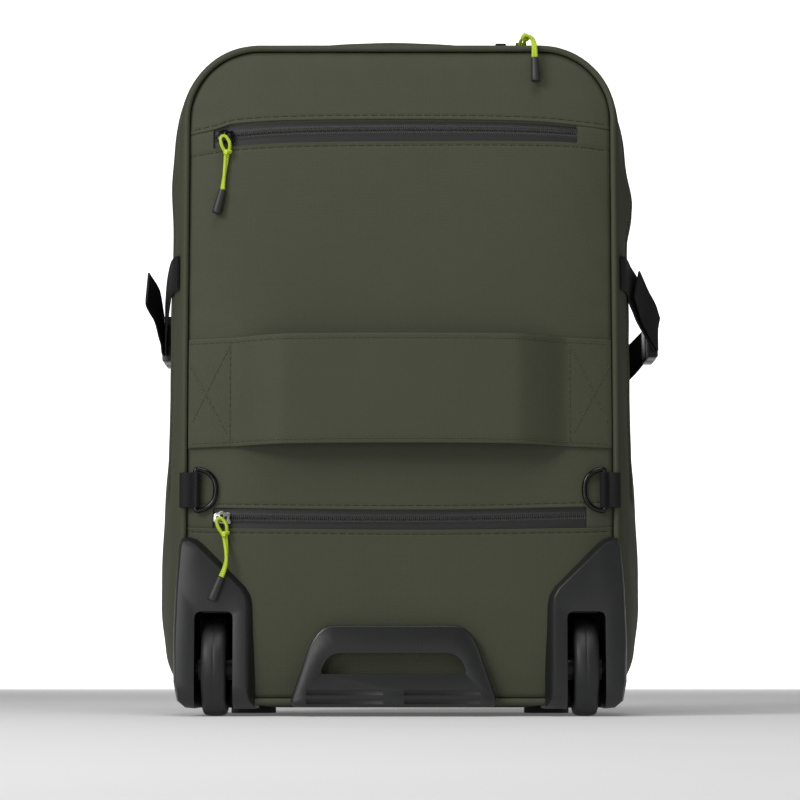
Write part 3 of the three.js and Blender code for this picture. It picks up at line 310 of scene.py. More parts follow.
for name, points in cord_routes.items():
    route = eased([Vector(p) for p in points], 0.6)
    far = running(route)
    frames = frames_along(route, out_of_bag[name])
    strands = []
    for side_of in (1, -1):
        strand = []
        for (point, side, top), at in zip(frames, far):
            inside = min(1, at / loop_length)
            opening = loop_opening[name] * math.sin(math.pi * (0.25 + 0.75 * inside))
            twist = 0.25 + 0.05 * at
            apart = side * math.cos(twist) + top * math.sin(twist) * 0.5
            strand.append(point + side * (side_of * opening) + apart * (side_of * 0.96 * strand_radius))
        strands.append(strand)
    point, side, top = frames[0]
    back = (route[0] - route[1]).normalized()
    gap = (strands[0][0] - strands[1][0]) / 2
    bends = [math.pi * k / 6 for k in range(1, 6)]
    arch = [point + gap * math.cos(a) + back * (gap.length * math.sin(a)) for a in bends]
    loop = strands[0][::-1] + arch + strands[1]
    bm = sweep(loop, round_section(strand_radius, 10), out_of_bag[name])
    cord = add_piece(bm, f"{name}_pull_strands", neon, "pull_cord", nodes=[f"{name}_pull_cord"], sharp=60)

    knot_at = min(range(len(far)), key=lambda k: abs(far[k] - loop_length))
    point, side, top = frames[knot_at]
    down = side.cross(top)
    wound = []
    for k in range(knot_steps + 1):
        turn = knot_turns * 2 * math.pi * k / knot_steps
        rise = 1.5 * math.sin(turn / knot_turns * 0.5 + 0.4)
        swing = side * (2.1 * math.cos(turn) - 0.7) + top * (1.9 * math.sin(turn) + 0.6)
        wound.append(point + swing + down * rise)
    bm = sweep(wound, round_section(strand_radius, 8), down)
    knot = add_piece(bm, f"{name}_pull_knot", neon, "pull_cord", sharp=60)

    start = route[-1]
    along = (Vector(cord_tips[name]) - start).normalized()
    tip_line = [start + along * (0.6 + row["along"]) for row in tip_rows]
    bm = sweep(
        tip_line,
        round_section(1, 24),
        out_of_bag[name],
        swell=lambda j: tip_rows[j]["radius"],
    )
    tip = add_piece(bm, f"{name}_pull_end", soft_rubber, "soft_rubber", nodes=[f"{name}_pull_tip"])


# Back panel
# Three pieces of coated polyester over foam, sewn into the back seam. Their edges are folded under and
# stitched beside the two zips, and the panel is crowned by the load behind it.
def read(rows, column, at, key="x"):
    """Reads a column of a table at a place between its rows, along a smooth curve."""
    count = len(rows)
    k = 0
    while k < count - 2 and rows[k + 1][key] < at:
        k += 1
    a, b = rows[k], rows[k + 1]
    width = b[key] - a[key]

    def slope(m):
        low, high = rows[max(m - 1, 0)], rows[min(m + 1, count - 1)]
        return (high[column] - low[column]) / (high[key] - low[key])

    t = min(1, max(0, (at - a[key]) / width))
    return (
        a[column] * (2 * t**3 - 3 * t**2 + 1)
        + slope(k) * width * (t**3 - 2 * t**2 + t)
        + b[column] * (3 * t**2 - 2 * t**3)
        + slope(k + 1) * width * (t**3 - t**2)
    )


def step(value):
    """Goes smoothly from 0 below -1 to 1 above 1."""
    t = min(1, max(0, (value + 1) / 2))
    return t * t * (3 - 2 * t)


def spaced(low, high, widest, fine=(), finest=0.3, near=3.0):
    """Places from low to high, a step apart, and closer together near each place in fine."""
    places = [low]
    while places[-1] < high:
        gap = min([abs(places[-1] - f) for f in fine] or [near])
        wide = finest + (widest - finest) * min(1, gap / near)
        places.append(places[-1] + wide)
    scale = (high - low) / (places[-1] - low)
    return [low + (p - low) * scale for p in places]


housing_inner = 110  # the wheel housings' inner sides
housing_cover = 89  # the height up to which they cover the panel's corners
panel_corner = 50
panel_low_corner = 36
panel_crown = 8
back_seam_y = -92
panel_low_box, panel_high_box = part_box("back_panel")
panel_half = panel_high_box.x / mm
panel_base = panel_low_box.z / mm
panel_top = panel_high_box.z / mm
panel_middle = (panel_base + panel_top) / 2
panel_rise = (panel_top - panel_base) / 2

# Each zip's window, seen from behind: its upper edge, its coil and its lower edge.
upper_window = [
    {"x": -151, "top": 415.6, "coil": 412, "low": 402.6},
    {"x": -131.5, "top": 419.4, "coil": 413.7, "low": 405.6},
    {"x": -120, "top": 422.8, "coil": 414.6, "low": 406.8},
    {"x": -80, "top": 425.2, "coil": 417.2, "low": 409},
    {"x": 0, "top": 426.2, "coil": 418.7, "low": 410.2},
    {"x": 60, "top": 425.7, "coil": 418.4, "low": 410.5},
    {"x": 100, "top": 424.3, "coil": 417.4, "low": 410.1},
    {"x": 128, "top": 421.9, "coil": 415.9, "low": 409.2},
    {"x": 151, "top": 419.6, "coil": 414.5, "low": 407.2},
]
lower_window = [
    {"x": -151, "top": 146.9, "coil": 140, "low": 133.2},
    {"x": -132, "top": 146.4, "coil": 139.6, "low": 132.4},
    {"x": -70, "top": 145.5, "coil": 138.8, "low": 131.6},
    {"x": 0, "top": 145, "coil": 138.4, "low": 131.1},
    {"x": 60, "top": 145.4, "coil": 139, "low": 131.4},
    {"x": 132, "top": 147.3, "coil": 140.9, "low": 132.6},
    {"x": 151, "top": 147.9, "coil": 141.5, "low": 133.6},
]
upper_ends = (-133.6, 127.3)
lower_ends = (-132, 132.2)
window_depth = 1.9
window_edge = 0.45  # half the width over which its floor drops
seam_inset = 3.1  # from each folded edge to its row of stitches
stitch_pitch = 3.2


def panel_reach(x, z):
    """How far out a place of the back panel lies: 0 in its middle, 1 on its outline."""
    x, z = abs(x), z - panel_middle
    corner = panel_corner if z > 0 else panel_low_corner
    z = abs(z)
    reach = max(x / panel_half, z / panel_rise)
    cx, cz = panel_half - corner, panel_rise - corner
    if reach > 0 and x / reach > cx and z / reach > cz:
        a = cx**2 + cz**2 - corner**2
        b = x * cx + z * cz
        c = x**2 + z**2
        reach = (b - math.sqrt(max(0, b**2 - a * c))) / a
    return reach


def panel_half_at(z):
    """Half the panel's width at a height, narrower in its rounded corners."""
    corner = panel_corner if z > panel_middle else panel_low_corner
    beyond = abs(z - panel_middle) - (panel_rise - corner)
    if beyond <= 0:
        return panel_half
    return panel_half - corner + math.sqrt(max(0, corner**2 - beyond**2))


def behind_housing(z):
    """Low down the panel ends inside the wheel housings, short of the wheels."""
    return housing_inner + (panel_half - housing_inner) * step((z - housing_cover) / 7)


def panel_face(x, z):
    """The panel's surface: crowned, and rolled into the seam beside the piping."""
    reach = min(1, panel_reach(x, z))
    roll = max(0, 1 - (1 - reach) * panel_half / 2.2)
    return back_seam_y - panel_crown * (1 - reach**6) + 1.1 * roll**2


def soft_folds(x, z):
    """Slight slack in the fabric, in millimetres: long shallow waves, and short ones beside the seams."""
    long_wave = 0.35 * math.sin(x / 31 + 0.7 * math.sin(z / 57)) * math.sin(z / 43 + 1.3)
    side = max(0, panel_reach(x, z) - 0.8) / 0.2
    pull = 0.22 * side * math.sin(z / 5.3 + 2 * math.sin(z / 23)) + 0.12 * side * math.sin(x / 3.9 + z / 9)
    return long_wave + pull


def panel_skin(x, z):
    """The panel's surface with the slack of its fabric."""
    return panel_face(x, z) - soft_folds(x, z)


def window_dip(x, z, window, ends):
    """How deep the window of a zip is at a place: 0 outside it, 1 inside."""
    low, high = read(window, "low", x), read(window, "top", x)
    from_edges = (x - ends[0], ends[1] - x, z - low, high - z)
    return math.prod(step(distance / window_edge) for distance in from_edges)


def puckered(x, from_seam):
    """A row of stitches pulls the fabric in, most at each stitch."""
    reach = math.exp(-((from_seam / 1.1) ** 2))
    return reach * (0.36 + 0.14 * math.cos(2 * math.pi * x / stitch_pitch))


# Polyester with a matt polyurethane coat: dull olive with hardly any sheen, slightly cloudy over 70 mm. The
# threads are about 0.5 mm apart, too fine to show, so the weave is drawn at 1.3 mm and the coat's grain at
# 1.4 mm.
olive = start_material("polyurethane_coated_polyester")
olive_uv = add_node(olive, "ShaderNodeUVMap", uv_map="cloth")
olive_warp = add_node(
    olive,
    "ShaderNodeTexWave",
    {"Vector": olive_uv.outputs["UV"], "Scale": bands(1.3), "Distortion": 0.8, "Detail Scale": 2.0},
    bands_direction="X",
)
olive_weft = add_node(
    olive,
    "ShaderNodeTexWave",
    {"Vector": olive_uv.outputs["UV"], "Scale": bands(1.3), "Distortion": 0.8, "Detail Scale": 2.0},
    bands_direction="Y",
)
olive_weave = add_node(
    olive,
    "ShaderNodeMath",
    {0: olive_warp.outputs["Fac"], 1: olive_weft.outputs["Fac"]},
    operation="MULTIPLY",
)
olive_place = add_node(olive, "ShaderNodeTexCoord")
olive_cloud = add_node(
    olive,
    "ShaderNodeTexNoise",
    {"Vector": olive_place.outputs["Object"], "Scale": cells(71.4), "Detail": 3.0, "Roughness": 0.6},
)
olive_tone = add_node(
    olive,
    "ShaderNodeMix",
    {0: olive_cloud.outputs["Fac"], 6: linear("#3b3d2e"), 7: linear("#434535")},
    data_type="RGBA",
)
olive_thread = add_node(
    olive,
    "ShaderNodeMix",
    {0: olive_weave.outputs[0], 6: olive_tone.outputs[2], 7: linear("#494b3a")},
    data_type="RGBA",
)
olive_fine = add_node(
    olive,
    "ShaderNodeTexNoise",
    {"Vector": olive_place.outputs["Object"], "Scale": cells(1.43), "Detail": 2.0},
)
olive_height = add_node(
    olive,
    "ShaderNodeMath",
    {0: olive_fine.outputs["Fac"], 1: 0.5, 2: olive_weave.outputs[0]},
    operation="MULTIPLY_ADD",
)
olive_bump = add_node(
    olive,
    "ShaderNodeBump",
    {"Height": olive_height.outputs[0], "Strength": 0.35, "Distance": 0.0002},
)
olive_shader = add_node(
    olive,
    "ShaderNodeBsdfPrincipled",
    {
        "Base Color": olive_thread.outputs[2],
        "Roughness": 0.68,
        "Specular IOR Level": 0.3,
        "Normal": olive_bump.outputs["Normal"],
    },
)
add_node(olive, "ShaderNodeOutputMaterial", {"Surface": olive_shader.outputs[0]})


def nylon_thread(name, dark, light):
    """Bonded nylon thread: a dull line, banded by the half millimetre pitch of its twist."""
    material = start_material(name)
    place = add_node(material, "ShaderNodeTexCoord")
    twist = add_node(
        material,
        "ShaderNodeTexWave",
        {"Vector": place.outputs["Object"], "Scale": bands(0.5), "Distortion": 0.0},
        bands_direction="DIAGONAL",
    )
    shade(material, twist.outputs["Fac"], dark, light, {"Roughness": 0.6})
    return material


# The panel's thread is much darker than the fabric.
thread_olive = nylon_thread("olive_nylon_thread", "#10110c", "#1f2018")


def beads(count):
    """That many small spheres 1 mm across, each as a list of its corners."""
    bm = bmesh.new()
    bmesh.ops.create_uvsphere(bm, u_segments=6, v_segments=4, radius=0.5)
    each = len(bm.verts)
    while len(bm.verts) < each * count:
        bmesh.ops.duplicate(bm, geom=bm.verts[:] + bm.edges[:] + bm.faces[:])
    bmesh.ops.delete(bm, geom=bm.verts[:][each * count :], context="VERTS")
    verts = bm.verts[:]
    return bm, [verts[k * each : (k + 1) * each] for k in range(count)]


def stitch_rows(name, lines, material, slot, pitch=stitch_pitch, thick=0.62):
    """Rows of stitches: short rounded lengths of thread, one at each pitch along each line."""
    pairs = []
    for line in lines:
        cut = eased(line, pitch / 2)
        pairs += zip(cut[::2], cut[1::2])
    bm, stitches = beads(len(pairs))
    for verts, (a, b) in zip(stitches, pairs):
        middle, half = (a + b) / 2, (b - a) * 0.55
        side = half.normalized().cross(Vector((0.3, -1, 0.2))).normalized()
        out = side.cross(half.normalized())
        for vert in verts:
            at = middle + half * vert.co.z * 2 + (side * vert.co.x + out * vert.co.y) * thick
            vert.co = at * mm
    return add_piece(bm, name, material, slot, sharp=80)


# The middle piece has both windows let into it, and its two ends run on under the other pieces.
tuck = 3.5  # how far it runs on under the folded edge of each neighbour
tuck_depth = 1.1  # and how deep it lies there
window_lines = [upper_ends[0], upper_ends[1], lower_ends[0], lower_ends[1]]
middle_columns = spaced(-panel_half, panel_half, 1.6, window_lines, 0.25)
middle_shares = spaced(0, 1, 0.014)


def middle_row_heights(x):
    """The heights of the middle piece's corners above one x: close together at its four edges."""
    low, sill = read(lower_window, "low", x), read(lower_window, "top", x)
    lintel, high = read(upper_window, "low", x), read(upper_window, "top", x)
    near = [-0.5, -0.2, 0, 0.2, 0.5]
    heights = [low - tuck, low - tuck / 2, *[low + n for n in near]]
    heights += [low + (sill - low) * k / 6 for k in range(1, 6)]
    heights += [sill + n for n in near] + [sill + n for n in (1.0, 1.6, 2.4, 3.1, 3.8, 4.8)]
    first, last = sill + 6, lintel - 6
    heights += [first + (last - first) * s for s in middle_shares]
    heights += [lintel - n for n in (4.8, 3.8, 3.1, 2.4, 1.6, 1.0)] + [lintel + n for n in near]
    heights += [lintel + (high - lintel) * k / 6 for k in range(1, 6)]
    return heights + [high, high + tuck / 2, high + tuck]


middle_heights = [middle_row_heights(x) for x in middle_columns]


def place_middle(i, j):
    x, z = middle_columns[i], middle_heights[i][j]
    sunk = window_dip(x, z, upper_window, upper_ends) + window_dip(x, z, lower_window, lower_ends)
    above = z - read(lower_window, "top", x)
    below = read(upper_window, "low", x) - z
    folded = 0.5 * (math.exp(-max(0, above) / 4) + math.exp(-max(0, below) / 4))
    y = panel_skin(x, z) + puckered(x, above - seam_inset) + puckered(x, below - seam_inset)
    under_top = step((z - read(upper_window, "top", x)) / 1.5)
    under_bottom = step((read(lower_window, "low", x) - z) / 1.5)
    y += tuck_depth * (under_top + under_bottom)
    return Vector((x, y - folded * (1 - sunk) + window_depth * sunk, z))


def laid_flat(point):
    return point.x, point.z


def close_behind(bm, depth_y):
    """Closes a sheet into a pad: its border is carried back to a plane and filled there."""
    border = [e for e in bm.edges if e.is_boundary]
    made = bmesh.ops.extrude_edge_only(bm, edges=border)["geom"]
    for vert in (g for g in made if isinstance(g, bmesh.types.BMVert)):
        vert.co.y = depth_y * mm
    bmesh.ops.holes_fill(bm, edges=[e for e in bm.edges if e.is_boundary], sides=0)
    bmesh.ops.recalc_face_normals(bm, faces=bm.faces)
    return bm


panel_back_y = back_seam_y + 4.5
bm = lay_grid(len(middle_columns), len(middle_heights[0]), place_middle, flat=laid_flat)
bm = close_behind(bm, panel_back_y)
piece = add_piece(bm, "panel_middle", olive, "coated_fabric", nodes=["back_panel"])

# The other two pieces end in a folded edge that lies over the middle piece.
fold_profile = [
    {"out": 2.2, "under": 0.0},
    {"out": 1.2, "under": 0.03},
    {"out": 0.5, "under": 0.16},
    {"out": 0.12, "under": 0.5},
    {"out": 0.0, "under": 0.95},
    {"out": 0.2, "under": 1.5},
    {"out": 0.9, "under": 1.9},
]
fold_lift = 1.0  # how far the folded edge stands over the panel's surface
outer_columns = spaced(-1, 1, 0.0105, (-1, 1), 0.002, 0.04)
outer_shares = spaced(0, 1, 0.042, (0, 1), 0.008, 0.15)


def outer_piece(name, window, edge, end):
    """One of the two outer pieces, from its folded edge beside a zip to the end of the panel."""
    away = 1 if end > panel_middle else -1

    def place(i, j):
        folds = len(fold_profile)
        share = 0 if j < folds else outer_shares[j - folds]
        under = fold_profile[folds - 1 - j]["under"] if j < folds else 0
        out = fold_profile[folds - 1 - j]["out"] if j < folds else fold_profile[0]["out"]
        z = end
        for _ in range(3):
            x = outer_columns[i] * min(panel_half_at(z), behind_housing(z))
            fold = read(window, edge, x) + away * out
            z = fold + (end - fold) * share
        beyond = abs(z - read(window, edge, x))
        y = panel_skin(x, z) - fold_lift * math.exp(-beyond / 5)
        y += puckered(x, beyond - seam_inset)
        return Vector((x, y + under, z))

    rows = len(fold_profile) + len(outer_shares)
    bm = close_behind(lay_grid(len(outer_columns), rows, place, flat=laid_flat), panel_back_y)
    piece = add_piece(bm, name, olive, "coated_fabric", nodes=["back_panel"])


outer_piece("panel_top", upper_window, "top", panel_top)
outer_piece("panel_bottom", lower_window, "low", panel_base)

seam_reach = panel_half - 3


def seam_line(window, edge, offset, lift):
    """A line over the panel at a distance from a window's edge."""
    line = []
    for x in spaced(-seam_reach, seam_reach, 6):
        z = read(window, edge, x) + offset
        line.append(Vector((x, panel_skin(x, z) - lift, z)))
    return line


# One row runs along each edge of each window, and two short ones stand at each end of the upper one.
panel_seams = [
    seam_line(upper_window, "top", seam_inset, 0.3),
    seam_line(upper_window, "low", -seam_inset, -0.05),
    seam_line(lower_window, "top", seam_inset, -0.05),
    seam_line(lower_window, "low", -seam_inset, 0.3),
]
for x in (upper_ends[0] - 2, upper_ends[0] - 5.5, upper_ends[1] + 3, upper_ends[1] + 8):
    panel_seams.append([Vector((x, panel_skin(x, z) - 0.1, z)) for z in (407.5, 411, 414.5, 418)])
stitch_rows("panel_stitches", panel_seams, thread_olive, "coated_fabric")


# Back zips
# Each is a reverse nylon coil zip on a dark grey coated tape, sewn in behind its window. The coil lies
# behind the tape, so only fine slanting ribs and the line where the two halves meet are seen.
tape_black = start_material("coated_nylon_zip_tape")
tape_uv = add_node(tape_black, "ShaderNodeUVMap", uv_map="cloth")
tape_rib = add_node(
    tape_black,
    "ShaderNodeTexWave",
    {"Vector": tape_uv.outputs["UV"], "Scale": bands(1.1), "Distortion": 0.3},
    bands_direction="DIAGONAL",
)
shade(tape_black, tape_rib.outputs["Fac"], "#101111", "#1c1d1c", {"Roughness": 0.5}, relief=(0.3, 0.15))

# Extruded nylon wire, coiled: nearly black, smoother than the tape, so it glints a little.
coil_black = start_material("black_nylon_coil")
coil_place = add_node(coil_black, "ShaderNodeTexCoord")
coil_noise = add_node(
    coil_black,
    "ShaderNodeTexNoise",
    {"Vector": coil_place.outputs["Object"], "Scale": cells(2)},
)
shade(coil_black, coil_noise.outputs["Fac"], "#0c0c0d", "#19191b", {"Roughness": 0.35})

coil_pitch = 1.4
rib_reach = 3.1  # how far the coil's ribs show on each side of the line where the halves meet


def tape_relief(along, off):
    """How far the tape stands out at a distance off its middle: ribs of the coil, and a groove."""
    off = abs(off)
    if off < 0.35:
        return -0.55
    if off > rib_reach + 0.5:
        return 0
    ribs = 0.3 * math.sin(2 * math.pi * (along + 0.45 * off) / coil_pitch)
    return 0.38 * step((rib_reach - off) / 0.5) + ribs * step((rib_reach - off) / 0.8)


tape_offsets = [0.34, 0.5, 0.9, 1.5, 2.1, 2.7, 3.1, 3.6, 4.6]
tape_rows = [-o for o in tape_offsets[::-1]] + [-0.2, 0.2] + tape_offsets


# Grey polyester thread holds the coil to its tape, and shows as a row of ticks on each side of it.
tick_grey = start_material("grey_coil_thread")
tick_place = add_node(tick_grey, "ShaderNodeTexCoord")
tick_noise = add_node(
    tick_grey,
    "ShaderNodeTexNoise",
    {"Vector": tick_place.outputs["Object"], "Scale": cells(3.33)},
)
shade(tick_grey, tick_noise.outputs["Fac"], "#3a3a37", "#5e5e59", {"Roughness": 0.6})


tape_stand, coil_stand, tick_stand = 0.35, 0.5, 0.75  # over the window's floor


def back_tape(name, window, ends, node, lean):
    """A zip in its window: the tape, the coil's turns in its middle, and ticks that lean by a share."""
    xs = spaced(ends[0] - 1.5, ends[1] + 1.5, coil_pitch / 4)

    def place(i, j):
        x = xs[i]
        coil = read(window, "coil", x)
        top, low = read(window, "top", x) + 1, read(window, "low", x) - 1
        if j == 0:
            z = low
        elif j == len(tape_rows) + 1:
            z = top
        else:
            z = coil + tape_rows[j - 1]
        y = panel_skin(x, z) + window_depth - tape_stand
        return Vector((x, y - tape_relief(x, z - coil), z))

    bm = lay_grid(len(xs), len(tape_rows) + 2, place)
    add_piece(bm, name, tape_black, "zip_tape", nodes=[node], sharp=60)

    bm, turns = beads(round((ends[1] - ends[0]) / coil_pitch))
    for k, verts in enumerate(turns):
        x = ends[0] + (k + 0.5) * coil_pitch
        z = read(window, "coil", x)
        y = panel_skin(x, z) + window_depth - coil_stand
        for vert in verts:
            vert.co = Vector((x + vert.co.x, y + vert.co.y * 1.2, z + vert.co.z * 1.4)) * mm
    add_piece(bm, f"{name}_coil", coil_black, "zip_tape", sharp=80)

    bm, ticks = beads(2 * len(turns))
    for k, verts in enumerate(ticks):
        side = 1 if k % 2 else -1
        x = ends[0] + (k // 2 + 0.5 + 0.25 * side) * coil_pitch
        z = read(window, "coil", x)
        y = panel_skin(x, z) + window_depth - tick_stand
        for vert in verts:
            up = side * 1.9 + vert.co.z * 1.8
            across = vert.co.x * 0.5 + vert.co.z * 1.8 * lean * side
            vert.co = Vector((x + across, y + vert.co.y * 0.5, z + up)) * mm
    add_piece(bm, f"{name}_ticks", tick_grey, "zip_tape", sharp=80)


back_tape("upper_tape", upper_window, upper_ends, "upper_zip", 0.15)
back_tape("lower_tape", lower_window, lower_ends, "lower_zip", 0.55)


# Bag body
# One bag of the same coated polyester: a wide band runs round the sides, the top and the base between
# the back seam and the front seam, and swells with the load. The front is one crowned piece.
piping_radius = 2.25
body_half = 155.9
body_base = 8.2
body_top = 481.7
rim_y = -89.95
front_seam_y = 100
side_swell = 20
top_swell = 6
top_crown = 3
corner_swell = 28
base_sag = 1.5
body_corner = 54.5
base_corner = 36
front_crown = 15
main_zip_y = -60
main_zip_half = 4.2
main_zip_end = 152
main_groove = 1.6  # how deep the fabric lies under the zip's tape
main_tape_depth = 1.35
seam_hold = 18  # how far the seams hold the fabric beside them
left_bumps = [{"height": 384, "reach": 22, "out": 2.0}]
right_bumps = [{"height": 372, "reach": 19, "out": 4.8}, {"height": 448, "reach": 26, "out": -3.2}]

# How much of the swell the sides have from the base to the top.
side_rows = [
    {"height": 0, "swell": 0.55},
    {"height": 0.04, "swell": 0.66},
    {"height": 0.09, "swell": 0.86},
    {"height": 0.16, "swell": 1},
    {"height": 0.4, "swell": 0.79},
    {"height": 0.64, "swell": 0.7},
    {"height": 0.8, "swell": 0.63},
    {"height": 1, "swell": 0.58},
]


def ring_points(half, top, base, corner, corner_rise, crown, across=56, up=96, turn=20):
    """The bag's outline as X and Z: straight sides, elliptical upper corners, a crowned top."""
    low = min(base_corner, corner)
    points = []

    def line(x0, z0, x1, z1, count, rise=0.0):
        for k in range(count):
            share = k / count
            bow = rise * (1 - (2 * share - 1) ** 2)
            points.append((x0 + (x1 - x0) * share, z0 + (z1 - z0) * share + bow))

    def arc(cx, cz, rx, rz, start):
        for k in range(turn):
            angle = start + math.pi / 2 * k / turn
            points.append((cx + rx * math.cos(angle), cz + rz * math.sin(angle)))

    line(low - half, base, half - low, base, across)
    arc(half - low, base + low, low, low, -math.pi / 2)
    line(half, base + low, half, top - corner_rise, up)
    arc(half - corner, top - corner_rise, corner, corner_rise, 0)
    line(half - corner, top, corner - half, top, across, crown)
    arc(corner - half, top - corner_rise, corner, corner_rise, math.pi / 2)
    line(-half, top - corner_rise, -half, base + low, up)
    arc(low - half, base + low, low, low, math.pi)
    return points


def swell_at(depth):
    """The share of the swell at a share of the depth, from the back seam to the front seam."""
    return max(0, math.sin(math.pi * min(1, max(0, depth)))) ** 0.6


def body_ring(depth):
    swell = swell_at(depth)
    half = body_half + side_swell * swell
    ring = ring_points(
        half,
        body_top + top_swell * swell,
        body_base - base_sag * swell,
        body_corner,
        body_corner + corner_swell * swell,
        top_crown * swell,
    )
    placed = []
    for x, z in ring:
        share = read(side_rows, "swell", (z - body_base) / (body_top - body_base), "height")
        placed.append((x - x / half * side_swell * swell * (1 - share), z))
    return placed


def side_at(y, z):
    """The half width of the bag's side at a place."""
    swell = swell_at((y - rim_y) / (front_seam_y - rim_y))
    share = read(side_rows, "swell", (z - body_base) / (body_top - body_base), "height")
    return body_half + side_swell * share * swell


def top_at(x, y):
    """The height of the bag's top at a place."""
    swell = swell_at((y - rim_y) / (front_seam_y - rim_y))
    reach = x / (body_half + side_swell * swell - body_corner)
    return body_top + top_swell * swell + top_crown * swell * max(0, 1 - reach**2)


zip_lines = [main_zip_y - main_zip_half, main_zip_y + main_zip_half]
body_depths = [
    (y - rim_y) / (front_seam_y - rim_y)
    for y in spaced(rim_y, front_seam_y, 3.6, [*zip_lines, rim_y, front_seam_y], 0.35, 4)
]
body_rings = [body_ring(depth) for depth in body_depths]


def slack(y, z):
    """Shallow folds in the side fabric, deeper low down, where nothing stretches it."""
    low = max(0, 1 - z / 300)
    return (
        0.9 * math.sin(z / 24 + y / 37) * math.sin(y / 29 + 0.6)
        + 0.9 * low * math.sin(y / 11 + z / 31)
        + 0.25 * math.sin(z / 7 + y / 13)
    )


def between_seams(y):
    """Whether the fabric is free to move: 0 in the back and the front seam, 1 away from both."""
    return min(1, (y - rim_y) / seam_hold, (front_seam_y - y) / seam_hold)


def sway(x, y, z):
    """How far the cloth of a side stands out above its strap and is drawn in below the corner."""
    bumps = left_bumps if x < 0 else right_bumps
    out = sum(b["out"] * math.exp(-(((z - b["height"]) / b["reach"]) ** 2)) for b in bumps)
    return between_seams(y) * out


well_outer, well_depth, well_top = 152, -40, 82


def place_body(i, j):
    x, z = body_rings[j][i]
    before, after = body_rings[j][i - 1], body_rings[j][(i + 1) % len(body_rings[j])]
    y = rim_y + (front_seam_y - rim_y) * body_depths[j]
    out = Vector((after[1] - before[1], 0, before[0] - after[0])).normalized()
    off = abs(y - main_zip_y)
    beside_zip = step((z - main_zip_end) / 3)
    sunk = step((main_zip_half - off) / 0.5) * step((z - main_zip_end) / 0.8)
    lip = 0.8 * math.exp(-abs(off - main_zip_half) / 3) * beside_zip
    seam = 0.3 * math.exp(-((off - main_zip_half - seam_inset) ** 2)) * beside_zip
    on_housing = step((60 - z) / 20) * step((abs(x) - 95) / 8)
    on_zip = math.exp(-((off / 15) ** 4)) * step((z - main_zip_end + 10) / 10)
    move = between_seams(y) * slack(y, z) * 0.8 * (1 - on_housing) * (1 - on_zip)
    move += lip * (1 - sunk) - seam - main_groove * sunk + sway(x, y, z)
    return Vector((x, y, z)) + out * move


def in_wheel_well(face):
    """Whether a face of the bag lies where a wheel has its place."""
    x, y, z = face.calc_center_median() / mm
    return housing_inner < abs(x) < well_outer and y < well_depth and z < well_top


bm = lay_grid(len(body_rings[0]), len(body_rings), place_body, wrap_columns=True)
bmesh.ops.recalc_face_normals(bm, faces=bm.faces)
bmesh.ops.delete(bm, geom=[face for face in bm.faces if in_wheel_well(face)], context="FACES")
body_surface = BVHTree.FromBMesh(bm)
add_piece(bm, "bag_body", olive, "coated_fabric", nodes=["bag_base", "rear_band", "front_band"])

front_shares = spaced(0.02, 1, 0.03, [1], 0.006, 0.1)[::-1]
front_edge = body_ring(1)


def place_front(i, j):
    share = front_shares[j]
    x, z = front_edge[i]
    x, z = x * share, panel_middle + (z - panel_middle) * share
    crown = front_crown * (1 - share**4.5)
    folds = 0.8 * math.sin(x / 37 + z / 61) * math.sin(z / 49) * (1 - share**8)
    return Vector((x, front_seam_y + crown + folds, z))


# The grid's inmost ring is drawn together into one point.
bm = lay_grid(len(front_edge), len(front_shares), place_front, wrap_columns=True)
front_point = Vector((0, front_seam_y + front_crown, panel_middle)) * mm
inmost = [v for v in bm.verts if v.is_boundary and (v.co - front_point).length < 0.02]
bmesh.ops.pointmerge(bm, verts=inmost, merge_co=front_point)
close_behind(bm, front_seam_y - 2)
piece = add_piece(bm, "front_face", olive, "coated_fabric", nodes=["front_panel"])


# Piping
# A cord wrapped in a strip of the bag's fabric is sewn into the back seam and into the front seam. It
# stands out as a smooth round edge, and puckers a little where it turns the corners.
def piped(name, route, nodes):
    spine = [Vector(p) for p in route]
    n = len(spine)
    turning = []
    for k in range(n):
        a, b = spine[k] - spine[k - 2], spine[(k + 2) % n] - spine[k]
        turning.append(min(1, a.angle(b, 0) / 0.12))
    far = running(spine)

    def swell(j):
        return 1 + 0.012 * math.sin(far[j] / 9) + 0.03 * turning[j] * math.sin(far[j] / 1.9)

    bm = sweep(spine, round_section(piping_radius, 18), Vector((0, 1, 0)), closed=True, swell=swell)
    bmesh.ops.delete(bm, geom=[face for face in bm.faces if in_wheel_well(face)], context="FACES")
    add_piece(bm, name, olive, "coated_fabric", nodes=nodes)


piping_x = 153.65
piping_y = -92.5


def even(points, step_length):
    """A closed line cut at equal steps."""
    loop = [Vector(p) for p in points] + [Vector(points[0])]
    far = running(loop)
    count = round(far[-1] / step_length)
    cut, k = [], 0
    for n in range(count):
        at = far[-1] * n / count
        while far[k + 1] < at:
            k += 1
        cut.append(loop[k].lerp(loop[k + 1], (at - far[k]) / (far[k + 1] - far[k])))
    return cut


back_gap = 0.3 + piping_radius  # from the panel's edge to the middle of the back piping
back_corner = panel_corner + back_gap
back_ring = ring_points(
    piping_x, panel_top + back_gap, body_base + piping_radius, back_corner, back_corner, 0
)
back_route = even([(x, piping_y, z) for x, z in back_ring], 1.6)
piped("back_piping", back_route, ["piping_back", "piping_base"])
piping_sunk = 1.1  # how far the front piping lies in its seam
front_out = piping_radius - piping_sunk
front_corner = body_corner + front_out
front_ring = ring_points(
    body_half + front_out, body_top + front_out, body_base - front_out, front_corner, front_corner, 0
)
front_route = even([(x, front_seam_y + piping_sunk, z) for x, z in front_ring], 2.0)
piped("front_piping", front_route, ["piping_front"])


